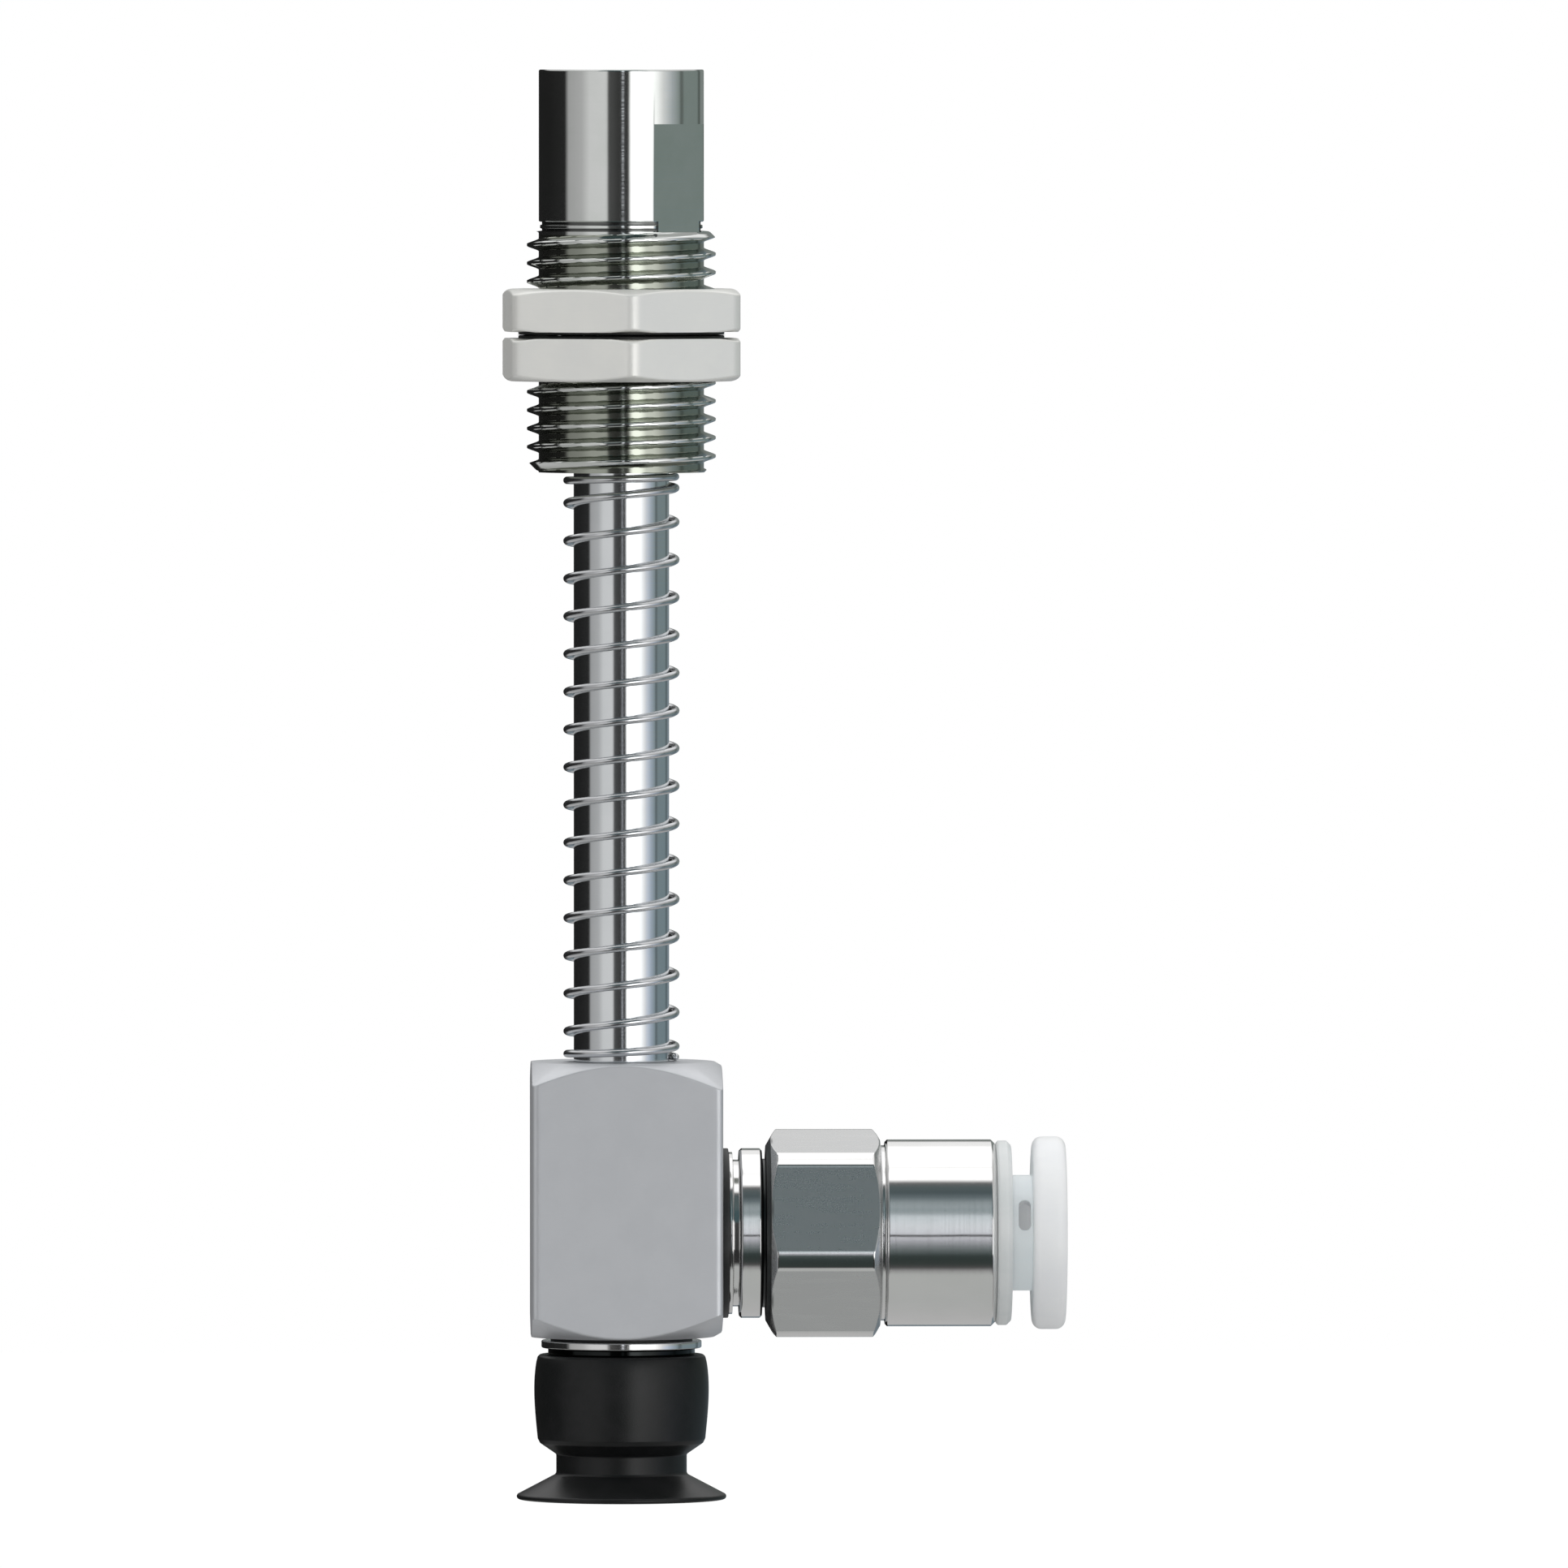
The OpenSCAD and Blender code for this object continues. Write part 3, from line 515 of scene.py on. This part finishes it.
METAL = {"Metallic": 1.0}
RING_THICKNESS = 1.75
HEX_MIDDLE = 10.55
finishes = {
    # painted shade: the guide's third colour darkens the roots of its thread
    "guide_chrome": finish(
        "guide_chrome",
        threaded((0.80, 0.81, 0.80), (0.72, 0.75, 0.72), (0.39, 0.41, 0.355), 0.07, 0.0012, 0.004), **METAL),
    "stem_chrome": finish(
        "stem_chrome", polished((0.80, 0.82, 0.835), (0.74, 0.765, 0.78), 0.11, 0.0015, 0.004), **METAL),
    "bush_bronze": finish(
        "bush_bronze", polished((0.55, 0.33, 0.16), (0.42, 0.24, 0.11), 0.3, 0.003, 0.004), **METAL),
    "nut_nickel": finish(
        "nut_nickel", washer_faced((0.89, 0.89, 0.85), (0.84, 0.845, 0.82), 0.4, (1, 1, 14), 0.004),
        Metallic=0.4),
    "stop_rubber": finish("stop_rubber", rubber((0.03, 0.03, 0.03), (0.05, 0.05, 0.05), 0.6, 0.004)),
    "stop_steel": finish(
        "stop_steel", satin((0.56, 0.57, 0.58), (0.42, 0.43, 0.45), 0.3, (3, 3, 3), 0.003), **METAL),
    "spring_steel": finish(
        "spring_steel", satin((0.74, 0.75, 0.765), (0.66, 0.67, 0.69), 0.2, (2, 2, 8), 0.002), **METAL),
    "block_aluminium": finish(
        "block_aluminium", satin((0.64, 0.655, 0.68), (0.60, 0.615, 0.64), 0.42, (2, 2, 16), 0.003),
        Metallic=0.6),
    "gasket_rubber": finish("gasket_rubber", rubber((0.012, 0.013, 0.013), (0.03, 0.03, 0.03), 0.5, 0.003)),
    "fitting_nickel": finish(
        "fitting_nickel", milled((0.84, 0.835, 0.83), (0.80, 0.80, 0.79), 0.1, 0.0012, 0.004), **METAL),
    "seal_rubber": finish("seal_rubber", rubber((0.02, 0.02, 0.022), (0.04, 0.04, 0.04), 0.4, 0.003)),
    "claw_steel": finish(
        "claw_steel", satin((0.60, 0.60, 0.59), (0.48, 0.48, 0.47), 0.25, (8, 2, 2), 0.002), **METAL),
    "guide_resin": finish(
        "guide_resin", resin((0.76, 0.79, 0.79), (0.69, 0.73, 0.73), 0.42, 0.004),
        **{"Subsurface Weight": 0.5, "Subsurface Radius": (0.003, 0.003, 0.003), "Subsurface Scale": 0.6}),
    # painted light: the release ring's sleeve glows through its emission colour
    "release_resin": finish(
        "release_resin", sleeve_painted_light((0.90, 0.92, 0.93), (0.86, 0.88, 0.90), 0.38, 0.004),
        **{"Emission Strength": 1.0, "Subsurface Weight": 0.7, "Subsurface Radius": (0.003, 0.003, 0.003),
           "Subsurface Scale": 0.6}),
    "cup_rubber": finish(
        "cup_rubber", rubber((0.007, 0.008, 0.008), (0.013, 0.013, 0.014), 0.36, 0.004),
        **{"Specular IOR Level": 0.3}),
}


# ---------------------------------------------------------------- mesh making

def solid(node):
    """Lowest and highest corner of a node's solid, in millimetres."""
    low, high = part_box(node)
    return low / MM, high / MM


def skin(name, rings, closed=True):
    """A mesh of rings of points in millimetres; each goes round the piece, and the last joins the first."""
    rings = np.asarray(rings, float)
    count, around = rings.shape[:2]
    links = count if closed else count - 1
    here = np.arange(around)
    after = np.roll(here, -1)
    faces = []
    for i in range(links):
        a, b = i * around, (i + 1) % count * around
        faces.append(np.stack([a + here, a + after, b + after, b + here], axis=1))
    faces = np.concatenate(faces).tolist()
    if not closed:
        faces.append(here[::-1].tolist())
        faces.append((here + (count - 1) * around).tolist())
    mesh = bpy.data.meshes.new(name)
    mesh.from_pydata((rings.reshape(-1, 3) * MM).tolist(), [], faces)
    work = bmesh.new()
    work.from_mesh(mesh)
    bmesh.ops.remove_doubles(work, verts=work.verts, dist=1e-8)
    bmesh.ops.dissolve_degenerate(work, edges=work.edges, dist=1e-8)
    bmesh.ops.recalc_face_normals(work, faces=work.faces)
    work.to_mesh(mesh)
    work.free()
    mesh.shade_smooth()
    piece = bpy.data.objects.new(name, mesh)
    scene.collection.objects.link(piece)
    return piece


def even_normals(piece, crease=50):
    """Shading follows the large faces, so flats look flat and broken edges look round; creases stay sharp."""
    piece.data.set_sharp_from_angle(angle=radians(crease))
    normals = piece.modifiers.new("even_normals", "WEIGHTED_NORMAL")
    normals.weight = 80
    normals.keep_sharp = True


def dress(piece, body, slot, *nodes):
    """Puts a piece on its body, in its finish, in place of its solids."""
    piece.data.materials.append(finishes[slot])
    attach(piece, body)
    if nodes:
        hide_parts(*nodes)
    return piece


def softened(profile, radius=0.08, steps=3, closed=True):
    """The same outline with each corner broken by a small arc."""
    points = [np.array(p, float) for p in profile]
    count = len(points)
    out = []
    for i, corner in enumerate(points):
        if not closed and i in (0, count - 1):
            out.append(corner)
            continue
        before, after = points[i - 1] - corner, points[(i + 1) % count] - corner
        lengths = hypot(*before), hypot(*after)
        cosine = float(before @ after) / (lengths[0] * lengths[1])
        turn = pi - acos(max(-1.0, min(1.0, cosine)))
        if turn < radians(14):
            out.append(corner)
            continue
        back = min(radius * tan(turn / 2), 0.42 * lengths[0], 0.42 * lengths[1])
        start, end = corner + before / lengths[0] * back, corner + after / lengths[1] * back
        for step in range(steps + 1):
            u = step / steps
            out.append((1 - u) ** 2 * start + 2 * u * (1 - u) * corner + u * u * end)
    return braced(out, closed)


def braced(points, closed, inset=0.04):
    """Adds a point just inside each end of every long side, so that the side shades as straight as it is."""
    out = []
    for i, here in enumerate(points):
        out.append(here)
        if i == len(points) - 1 and not closed:
            break
        side = points[(i + 1) % len(points)] - here
        length = hypot(*side)
        if length > 8 * inset:
            out += [here + side * (inset / length), here + side * (1 - inset / length)]
    return out


def arc(centre, radius, start, end, steps=8):
    angles = (radians(start + (end - start) * i / steps) for i in range(steps + 1))
    return [(centre[0] + radius * cos(a), centre[1] + radius * sin(a)) for a in angles]


def upright(angles, radii, heights, foot=0.0):
    """A ring of points about the stem's axis."""
    radii, heights = np.broadcast_to(radii, angles.shape), np.broadcast_to(heights, angles.shape)
    return np.stack([radii * np.cos(angles), radii * np.sin(angles), heights + foot], axis=1)


def along_port(angles, radii, stations):
    """A ring of points about the hose port's axis, its station counted from the block's face."""
    radii, stations = np.broadcast_to(radii, angles.shape), np.broadcast_to(stations, angles.shape)
    return np.stack([stations + port_face, radii * np.sin(angles), port_z - radii * np.cos(angles)], axis=1)


def round_angles(count=192):
    return np.arange(count) * 2 * pi / count


def turned(name, profile, ring_of=upright, count=192, radius=0.08, **where):
    """A turned piece: its closed half profile as (radius, place along the axis)."""
    angles = round_angles(count)
    points = softened(profile, radius)
    piece = skin(name, [ring_of(angles, r, place, **where) for r, place in points])
    even_normals(piece)
    return piece


def flats_reach(angles, across, sides, first_corner, corner_round):
    """How far a bar with flat sides and rounded corners reaches from its axis in each direction."""
    half = pi / sides
    off = (angles - first_corner) % (2 * half)
    off = np.minimum(off, 2 * half - off)
    reach = across / 2 / np.cos(half - off)
    centre = (across / 2 - corner_round) / cos(half)
    edge = atan2(corner_round * sin(half), centre + corner_round * cos(half))
    curved = centre * np.cos(off) + np.sqrt(np.maximum(corner_round ** 2 - (centre * np.sin(off)) ** 2, 0))
    return np.where(off < edge, np.minimum(curved, reach), reach)


def off_centre_reach(angles, low, high, half, corner_round):
    """How far a rounded square reaches from an axis off its centre: low to high along X, half each way."""
    along, across = np.cos(angles), np.sin(angles)
    along = np.where(np.abs(along) < 1e-9, 1e-9, along)
    side = np.where(along > 0, high, low)
    reach = np.minimum(side / along, half / np.maximum(np.abs(across), 1e-9))
    corner_x, corner_y = side - np.sign(side) * corner_round, np.sign(across) * (half - corner_round)
    passing = corner_x * across - corner_y * along
    curved = corner_x * along + corner_y * across + np.sqrt(np.maximum(corner_round ** 2 - passing ** 2, 0))
    at_corner = (np.abs(reach * along) > np.abs(corner_x)) & (np.abs(reach * across) > np.abs(corner_y))
    return np.where(at_corner, np.minimum(curved, reach), reach)


def chamfered_end(reach, face_r, slope, broken):
    """Radii and drops of the rings from a turned face out to the bar's side, for one end of the bar."""
    def drop(r):
        return np.maximum(r - face_r, 0) * slope
    inner = np.minimum(face_r, reach - 2.2 * broken)
    rings = [(inner, drop(inner))]
    for inset, extra in ((broken, 0.0), (0.3 * broken, 0.3 * broken), (0.0, broken), (0.0, broken + 0.04)):
        rings.append((reach - inset, drop(reach - inset) + extra))
    return rings


# ---------------------------------------------------------------- places shared by the pieces

guide_low, guide_high = solid("guide_bushing")
block_low, block_high = solid("vacuum_block")
fitting_low, fitting_high = solid("fitting_body")
port_face = block_high.x
port_z = (fitting_low.z + fitting_high.z) / 2
port_r = 2.52
passage_r = 1.1
STEM_R = 2.5


# ---------------------------------------------------------------- guide bushing

THREAD_CREST_R = 4.95
THREAD_ROOT_R = 4.33
THREAD_PITCH = 0.962
THREAD_PHASE = -4.42
THREAD_STEPS = 24
THREAD_TOP = 5.45
NECK_FOOT = 6.0
NECK_R = 4.325
RELIEF_R = 4.16
RELIEF_RIB_R = 4.26
FLAT_FACES = (radians(-36), radians(144))
FLAT_FROM_AXIS = 3.675
FLAT_Z = (5.39, 11.04)
POCKET = (3.45, 2.6)
GUIDE_BORE_R = 3.15
BUSH_LIP = (2.62, 0.8)


def thread_radius(turns):
    """Height of a cut thread over one pitch: a narrow crest, straight flanks and a wide root."""
    wave = np.abs((turns % 1.0) * 2 - 1)
    flank = np.clip((wave - 0.34) / 0.52, 0, 1)
    eased_flank = 0.6 * flank + 0.4 * flank * flank * (3 - 2 * flank)
    return THREAD_ROOT_R + (THREAD_CREST_R - THREAD_ROOT_R) * eased_flank


def guide_outline(heights):
    """The envelope that the thread and the neck are turned inside."""
    bottom = guide_low.z
    places = [bottom, bottom + 0.6, THREAD_TOP - 0.35, THREAD_TOP, THREAD_TOP + 0.001, NECK_FOOT]
    radii = [THREAD_CREST_R - 0.6, THREAD_CREST_R, THREAD_CREST_R, THREAD_CREST_R - 0.35, RELIEF_R, RELIEF_R]
    return np.interp(heights, places, radii)


def guide_bushing():
    edge = acos(FLAT_FROM_AXIS / NECK_R)
    angles = set(round_angles(168).tolist())
    exact = [(face + sign * edge) % (2 * pi) for face in FLAT_FACES for sign in (-1, 1)]
    angles = sorted([a for a in angles if min(abs(a - e) for e in exact) > 0.012] + exact)
    angles = np.array(angles)
    flat = np.full(angles.shape, np.inf)
    for face in FLAT_FACES:
        off = np.cos(angles - face)
        flat = np.where(off > 0.5, np.minimum(flat, FLAT_FROM_AXIS / np.maximum(off, 0.5)), flat)

    rings = []
    lead = angles / (2 * pi)

    def outer(z, radii, milled):
        rings.append(upright(angles, np.minimum(radii, flat) if milled else radii, z))

    step = THREAD_PITCH / THREAD_STEPS
    for z in np.arange(guide_low.z, THREAD_TOP + 1e-6, step):
        thread = thread_radius((z - THREAD_PHASE) / THREAD_PITCH - lead)
        outer(z, np.minimum(thread, guide_outline(z)), z > FLAT_Z[0])
        if abs(z - FLAT_Z[0]) < step / 2 and z <= FLAT_Z[0]:
            shape = np.minimum(thread, guide_outline(FLAT_Z[0]))
            outer(FLAT_Z[0], shape, False)
            outer(FLAT_Z[0], shape, True)
    foot, top = NECK_FOOT, guide_high.z
    relief = [(RELIEF_R, THREAD_TOP + 0.02), (RELIEF_R, 5.56), (RELIEF_RIB_R, 5.59), (RELIEF_RIB_R, 5.75),
              (RELIEF_R, 5.78), (RELIEF_R, 5.93), (NECK_R - 0.05, 5.93), (NECK_R, 5.98), (NECK_R, foot + 1)]
    for r, z in softened(relief, 0.02, 2, False):
        outer(z, r, True)
    outer(FLAT_Z[1], NECK_R, True)
    outer(FLAT_Z[1], NECK_R, False)
    pocket_r, pocket_depth = POCKET
    lip_r, lip_h = BUSH_LIP
    inside = [
        (NECK_R, top - 1), (NECK_R, top), (pocket_r, top), (pocket_r, top - pocket_depth),
        (GUIDE_BORE_R, top - pocket_depth), (GUIDE_BORE_R, guide_low.z + lip_h), (lip_r, guide_low.z + lip_h),
        (lip_r, guide_low.z), (4.2, guide_low.z),
    ]
    for r, z in softened(inside, 0.1, 3, False):
        outer(z, r, False)
    piece = skin("guide_bushing_dress", rings)
    even_normals(piece)
    return dress(piece, "housing", "guide_chrome", "guide_bushing")


# ---------------------------------------------------------------- lock nuts

NUT_AF = 12
NUT_CORNER = radians(-26)
NUT_FACE_R = 5.8
NUT_SLOPE = tan(radians(16))
NUT_BORE_R = 4.99
NUT_STEP = 0.15


def lock_nut(node, body):
    low, high = solid(node)
    angles = round_angles(360) + NUT_CORNER
    reach = flats_reach(angles, NUT_AF, 6, NUT_CORNER, 0.85)
    plain_end = chamfered_end(reach, NUT_FACE_R, NUT_SLOPE, 0.07)
    washer_end = [(5.35, 0), (5.4, 0.05), (5.4, NUT_STEP)]
    washer_end += [(r, np.maximum(drop, NUT_STEP)) for r, drop in plain_end[1:]]
    below, above = (washer_end, plain_end) if abs(low.z) < 0.1 else (plain_end, washer_end)
    rings = [upright(angles, r, low.z + drop) for r, drop in below]
    rings += [upright(angles, r, high.z - drop) for r, drop in reversed(above)]
    bore = [(NUT_BORE_R + 0.45, high.z), (NUT_BORE_R + 0.2, high.z), (NUT_BORE_R, high.z - 0.2),
            (NUT_BORE_R, low.z + 0.2), (NUT_BORE_R + 0.2, low.z), (NUT_BORE_R + 0.45, low.z)]
    rings += [upright(angles, r, z) for r, z in bore]
    piece = skin(node + "_dress", rings)
    even_normals(piece)
    return dress(piece, body, "nut_nickel", node)


# ---------------------------------------------------------------- stem and spring

COIL_R = 2.85
WIRE_R = 0.2
COIL_TURNS = 17
CLOSED_TURNS = 0.5
COIL_STEPS = 56
WIRE_SIDES = 14


def stem_rod():
    low, high = solid("stem_rod")
    shoulder = block_high.z
    clip_low = solid("retaining_clip")[0].z - 0.02
    clip_high = solid("retaining_clip")[1].z + 0.02
    profile = [
        (0, low.z), (1.88, low.z), (2.0, low.z + 0.12), (2.0, shoulder), (STEM_R, shoulder),
        (STEM_R, clip_low),
        (STEM_R - 0.4, clip_low), (STEM_R - 0.4, clip_high), (STEM_R, clip_high), (STEM_R, high.z - 0.24),
        (STEM_R - 0.24, high.z), (0, high.z),
    ]
    angles = round_angles(160)
    points = softened(profile, 0.05, 3, False)
    points.insert(-1, (0.8, high.z))
    rings = [upright(angles, r, z) for r, z in points]
    piece = skin("stem_rod_dress", rings)
    even_normals(piece)
    return dress(piece, "stem", "stem_chrome", "stem_rod")


def compression_spring():
    """One round wire wound to the right, its end turns closed."""
    low, high = solid("compression_spring")
    length = high.z - low.z
    wire = 2 * WIRE_R
    open_turns = COIL_TURNS - 2 * CLOSED_TURNS - 1
    pitch = wire + (length - wire * (COIL_TURNS + 1)) / open_turns

    def eased(turns):
        return np.where(turns <= 0, 0, np.where(turns >= 1, turns - 0.5, turns * turns / 2))

    turns = np.linspace(0, COIL_TURNS, COIL_TURNS * COIL_STEPS + 1)
    last = COIL_TURNS - CLOSED_TURNS - 1
    opened = eased(turns - CLOSED_TURNS) - eased(turns - last)
    height = low.z + WIRE_R + wire * turns + (pitch - wire) * opened
    around = 2 * pi * np.arange(WIRE_SIDES) / WIRE_SIDES
    sizes = np.full(turns.shape, WIRE_R)
    sizes[[0, -1]] = WIRE_R * 0.55
    rings = []
    for a, z, size in zip(2 * pi * turns, height, sizes):
        r = COIL_R + size * np.cos(around)
        rings.append(np.stack([r * cos(a), r * sin(a), z + size * np.sin(around)], axis=1))
    piece = skin("compression_spring_dress", rings, closed=False)
    dress(piece, "spring_set", "spring_steel", "compression_spring")
    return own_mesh(piece)


# ---------------------------------------------------------------- vacuum block

BLOCK_W = 10
BLOCK_FACE_R = 4.9
BLOCK_SLOPE = tan(radians(30))
SPIGOT_R = 2.02


def cut_by(piece, cutters):
    """Takes the cutters out of a piece for good."""
    for cutter in cutters:
        cut = piece.modifiers.new("cut", "BOOLEAN")
        cut.operation, cut.solver, cut.object = "DIFFERENCE", "EXACT", cutter
    shape = bpy.data.meshes.new_from_object(piece.evaluated_get(bpy.context.evaluated_depsgraph_get()))
    piece.modifiers.clear()
    piece.data = shape
    for cutter in cutters:
        bpy.data.objects.remove(cutter)


def vacuum_block():
    low, high = block_low, block_high
    angles = round_angles(480) + radians(45)
    reach = off_centre_reach(angles, low.x, high.x, BLOCK_W / 2, 0.3)
    end = chamfered_end(reach, BLOCK_FACE_R, BLOCK_SLOPE, 0.05)
    rings = [upright(angles, r, low.z + drop) for r, drop in end]
    rings += [upright(angles, r, high.z - drop) for r, drop in reversed(end)]
    seat_floor = high.z - 4.12
    stud_roof = low.z + 2.72
    bore = [(3.6, high.z), (SPIGOT_R, high.z), (SPIGOT_R, seat_floor), (passage_r, seat_floor),
        (passage_r, stud_roof),
            (port_r, stud_roof), (port_r, low.z), (3.6, low.z)]
    bore[3:5] = [(0, seat_floor), (0, port_z), (passage_r, port_z), (passage_r, stud_roof)]
    rings += [upright(angles, r, z) for r, z in bore]
    piece = skin("vacuum_block_dress", rings)
    even_normals(piece)
    return dress(piece, "stem", "block_aluminium", "vacuum_block")


# ---------------------------------------------------------------- hose fitting

HEX_AF = 10
HEX_CORNER = radians(-16.8)
HEX_X = (2.3, 8.3)
HEX_SEAT_R = 4.6
HEX_FACE_R = 4.88
HEX_CORNER_R = 5.54
MOUTH_X = 14.35
TUBE_R = 2.05


def fitting_body():
    angles = round_angles(360) + HEX_CORNER
    reach = np.minimum(flats_reach(angles, HEX_AF, 6, HEX_CORNER, 0.25), HEX_CORNER_R)
    seat_end = chamfered_end(reach, HEX_SEAT_R, BLOCK_SLOPE, 0.03)
    barrel_end = chamfered_end(reach, HEX_FACE_R, BLOCK_SLOPE, 0.04)

    rings = []

    def lay(points, radius=0.06):
        for r, station in softened(points, radius, 5, False):
            rings.append(along_port(angles, r, station))

    lay([(passage_r, -2.9), (2.38, -2.9), (2.5, -2.78), (2.5, 0.55), (3.85, 0.55), (3.85, 0.9), (4.33, 0.9),
         (4.45, 1.02), (4.45, 1.98), (4.33, 2.1), (3.9, 2.1), (3.9, HEX_X[0]), (4.1, HEX_X[0])])
    rings += [along_port(angles, r, HEX_X[0] + drop) for r, drop in seat_end]
    rings += [along_port(angles, r, HEX_X[1] - drop) for r, drop in reversed(barrel_end)]
    lay([(4.7, HEX_X[1]), (4.6, HEX_X[1]), (4.6, 8.55), (4.78, 8.55), (4.9, 8.67), (4.9, 14.11),
        (4.66, MOUTH_X),
         (3.97, MOUTH_X), (3.97, 10.05), (3.32, 10.05), (3.32, 8.45), (TUBE_R, 8.45), (TUBE_R, 4.45),
         (passage_r, 4.45)])
    piece = skin("fitting_body_dress", rings)
    even_normals(piece, 24)
    return dress(piece, "stem", "fitting_nickel", "fitting_body")


def fitting_rings():
    """The gasket and its metal ring between the block and the fitting."""
    gasket_face = [(port_r, 0), (4.45, 0), (4.45, 0.35), (port_r, 0.35)]
    gasket = turned("fitting_gasket_dress", gasket_face, along_port)
    dress(gasket, "stem", "gasket_rubber", "fitting_gasket")
    backing = turned(
        "gasket_backing_dress", [(port_r, 0.35), (4.25, 0.35), (4.25, 0.55), (port_r, 0.55)], along_port,
        radius=0.03)
    dress(backing, "stem", "fitting_nickel", "gasket_backing_ring")


def claw_guide():
    """The pale guide in the barrel's mouth."""
    profile = [
        (3.52, 11.25), (3.95, 11.25), (3.95, 14.37), (4.72, 14.37), (4.84, 14.49), (4.84, 14.93),
        (4.6, 15.17),
        (3.05, 15.17), (3.05, 12.92), (3.52, 12.92),
    ]
    piece = turned("claw_guide_dress", profile, along_port, radius=0.1)
    return dress(piece, "stem", "guide_resin", "claw_guide")


RING_X = (16.27, 18.02)
RING_R = 5.05
SLEEVE_R = 3.03
CATCH_R = 3.5
WINDOW_X = 15.825
WINDOW_R = 0.325
WINDOW_REACH = 0.525
WINDOW_UP = 0.2


def release_ring():
    """The ring that is pressed to free the hose, with an oval window on each side of its sleeve."""
    first, last = RING_X
    profile = [(2.17, 12.2), (CATCH_R, 12.2), (CATCH_R, 12.9), (SLEEVE_R, 12.9), (SLEEVE_R, first)]
    profile += arc((RING_R - 0.5, first + 0.5), 0.5, -90, 0)
    profile += arc((RING_R - 0.5, last - 0.5), 0.5, 0, 90)
    profile += [(2.41, last), (2.17, last - 0.24)]
    angles = round_angles()
    piece = skin("release_ring_dress", [along_port(angles, r, place) for r, place in softened(profile)])
    bend = round_angles(32)
    aside = WINDOW_R * np.sin(bend) + np.where(np.sin(bend) >= 0, WINDOW_REACH, -WINDOW_REACH) - WINDOW_UP
    along = WINDOW_X + WINDOW_R * np.cos(bend)
    cutters = []
    for side in (-1, 1):
        middle = HEX_CORNER - side * pi / 2
        rings = []
        for depth in (1.5, 4):
            across = depth * cos(middle) - aside * sin(middle)
            turn = np.arctan2(depth * sin(middle) + aside * cos(middle), across)
            rings.append(along_port(turn, np.hypot(depth, aside), along))
        cutters.append(skin("window_cutter", rings, closed=False))
    cut_by(piece, cutters)
    even_normals(piece)
    return dress(piece, "release", "release_resin", "release_ring")


# ---------------------------------------------------------------- adapter and cup

def cup_adapter():
    low, high = solid("cup_adapter")
    foot = block_low.z
    profile = [
        (passage_r, high.z), (passage_r, low.z), (2.5, low.z), (3.3, foot - 2.285), (3.3, foot - 2.045),
        (2.5, foot - 1.925), (2.5, foot - 0.95), (3.85, foot - 0.95), (3.85, foot - 0.6), (4.15, foot - 0.6),
        (4.2, foot - 0.55), (4.2, foot - 0.25), (4.15, foot - 0.2), (2.5, foot - 0.2), (2.5, high.z - 0.12),
        (2.38, high.z),
    ]
    piece = turned("cup_adapter_dress", profile)
    return dress(piece, "stem", "fitting_nickel", "cup_adapter")


CUP_SLEEVE_R = 4.4
CUP_NECK_R = 3.425
CUP_LIP_R = 5.5
CUP_LIP_T = 0.3
CUP_FLARE_H = 1.0


def suction_cup():
    """The rubber cup: a sleeve swollen by the barb, a short neck, and a flare down to a thin lip."""
    low, high = solid("suction_cup")
    top, bottom = high.z, low.z
    down = np.linspace(0, 1, 17)
    sleeve = [(CUP_SLEEVE_R + 0.18 * sin(pi * u ** 0.75), top - 0.12 - 4.29 * u) for u in down]
    flare_z = bottom + CUP_LIP_T + CUP_FLARE_H
    lip = arc((CUP_LIP_R - CUP_LIP_T / 2, bottom + CUP_LIP_T / 2), CUP_LIP_T / 2, 60, -90, 8)
    profile = [(2.52, top), (CUP_SLEEVE_R - 0.12, top), *sleeve, (CUP_SLEEVE_R - 0.12, top - 4.65)]
    profile += [(CUP_NECK_R, top - 5.235), (CUP_NECK_R, flare_z + 0.12), (CUP_NECK_R + 0.06, flare_z), *lip]
    profile += [(4.84, bottom), (1.86, flare_z - 0.12), (1.5, flare_z), (1.5, top - 3.92), (2.52, top - 3.92),
                (3.32, top - 1.34), (3.32, top - 1.095), (2.52, top - 0.975)]
    piece = turned("suction_cup_dress", profile, radius=0.14, count=224)
    return dress(piece, "stem", "cup_rubber", "suction_cup")


# ---------------------------------------------------------------- the whole compensator

guide_bushing()
lock_nut("lock_nut_upper", "upper_nut")
lock_nut("lock_nut_lower", "lower_nut")
stem_rod()
compression_spring()
vacuum_block()
fitting_body()
fitting_rings()
claw_guide()
release_ring()
cup_adapter()
suction_cup()

KEPT_SOLIDS = {
    "guide_bush_upper": "bush_bronze", "guide_bush_lower": "bush_bronze", "stop_bumper": "stop_rubber",
    "stop_washer": "stop_steel", "retaining_clip": "stop_steel", "tube_seal": "seal_rubber",
    "seal_backup_ring": "stop_steel", "grip_claw": "claw_steel", "adapter_gasket": "gasket_rubber",
}
for node, slot in KEPT_SOLIDS.items():
    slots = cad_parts[node].material_slots
    for index in range(len(slots)):
        slots[index].material = finishes[slot]
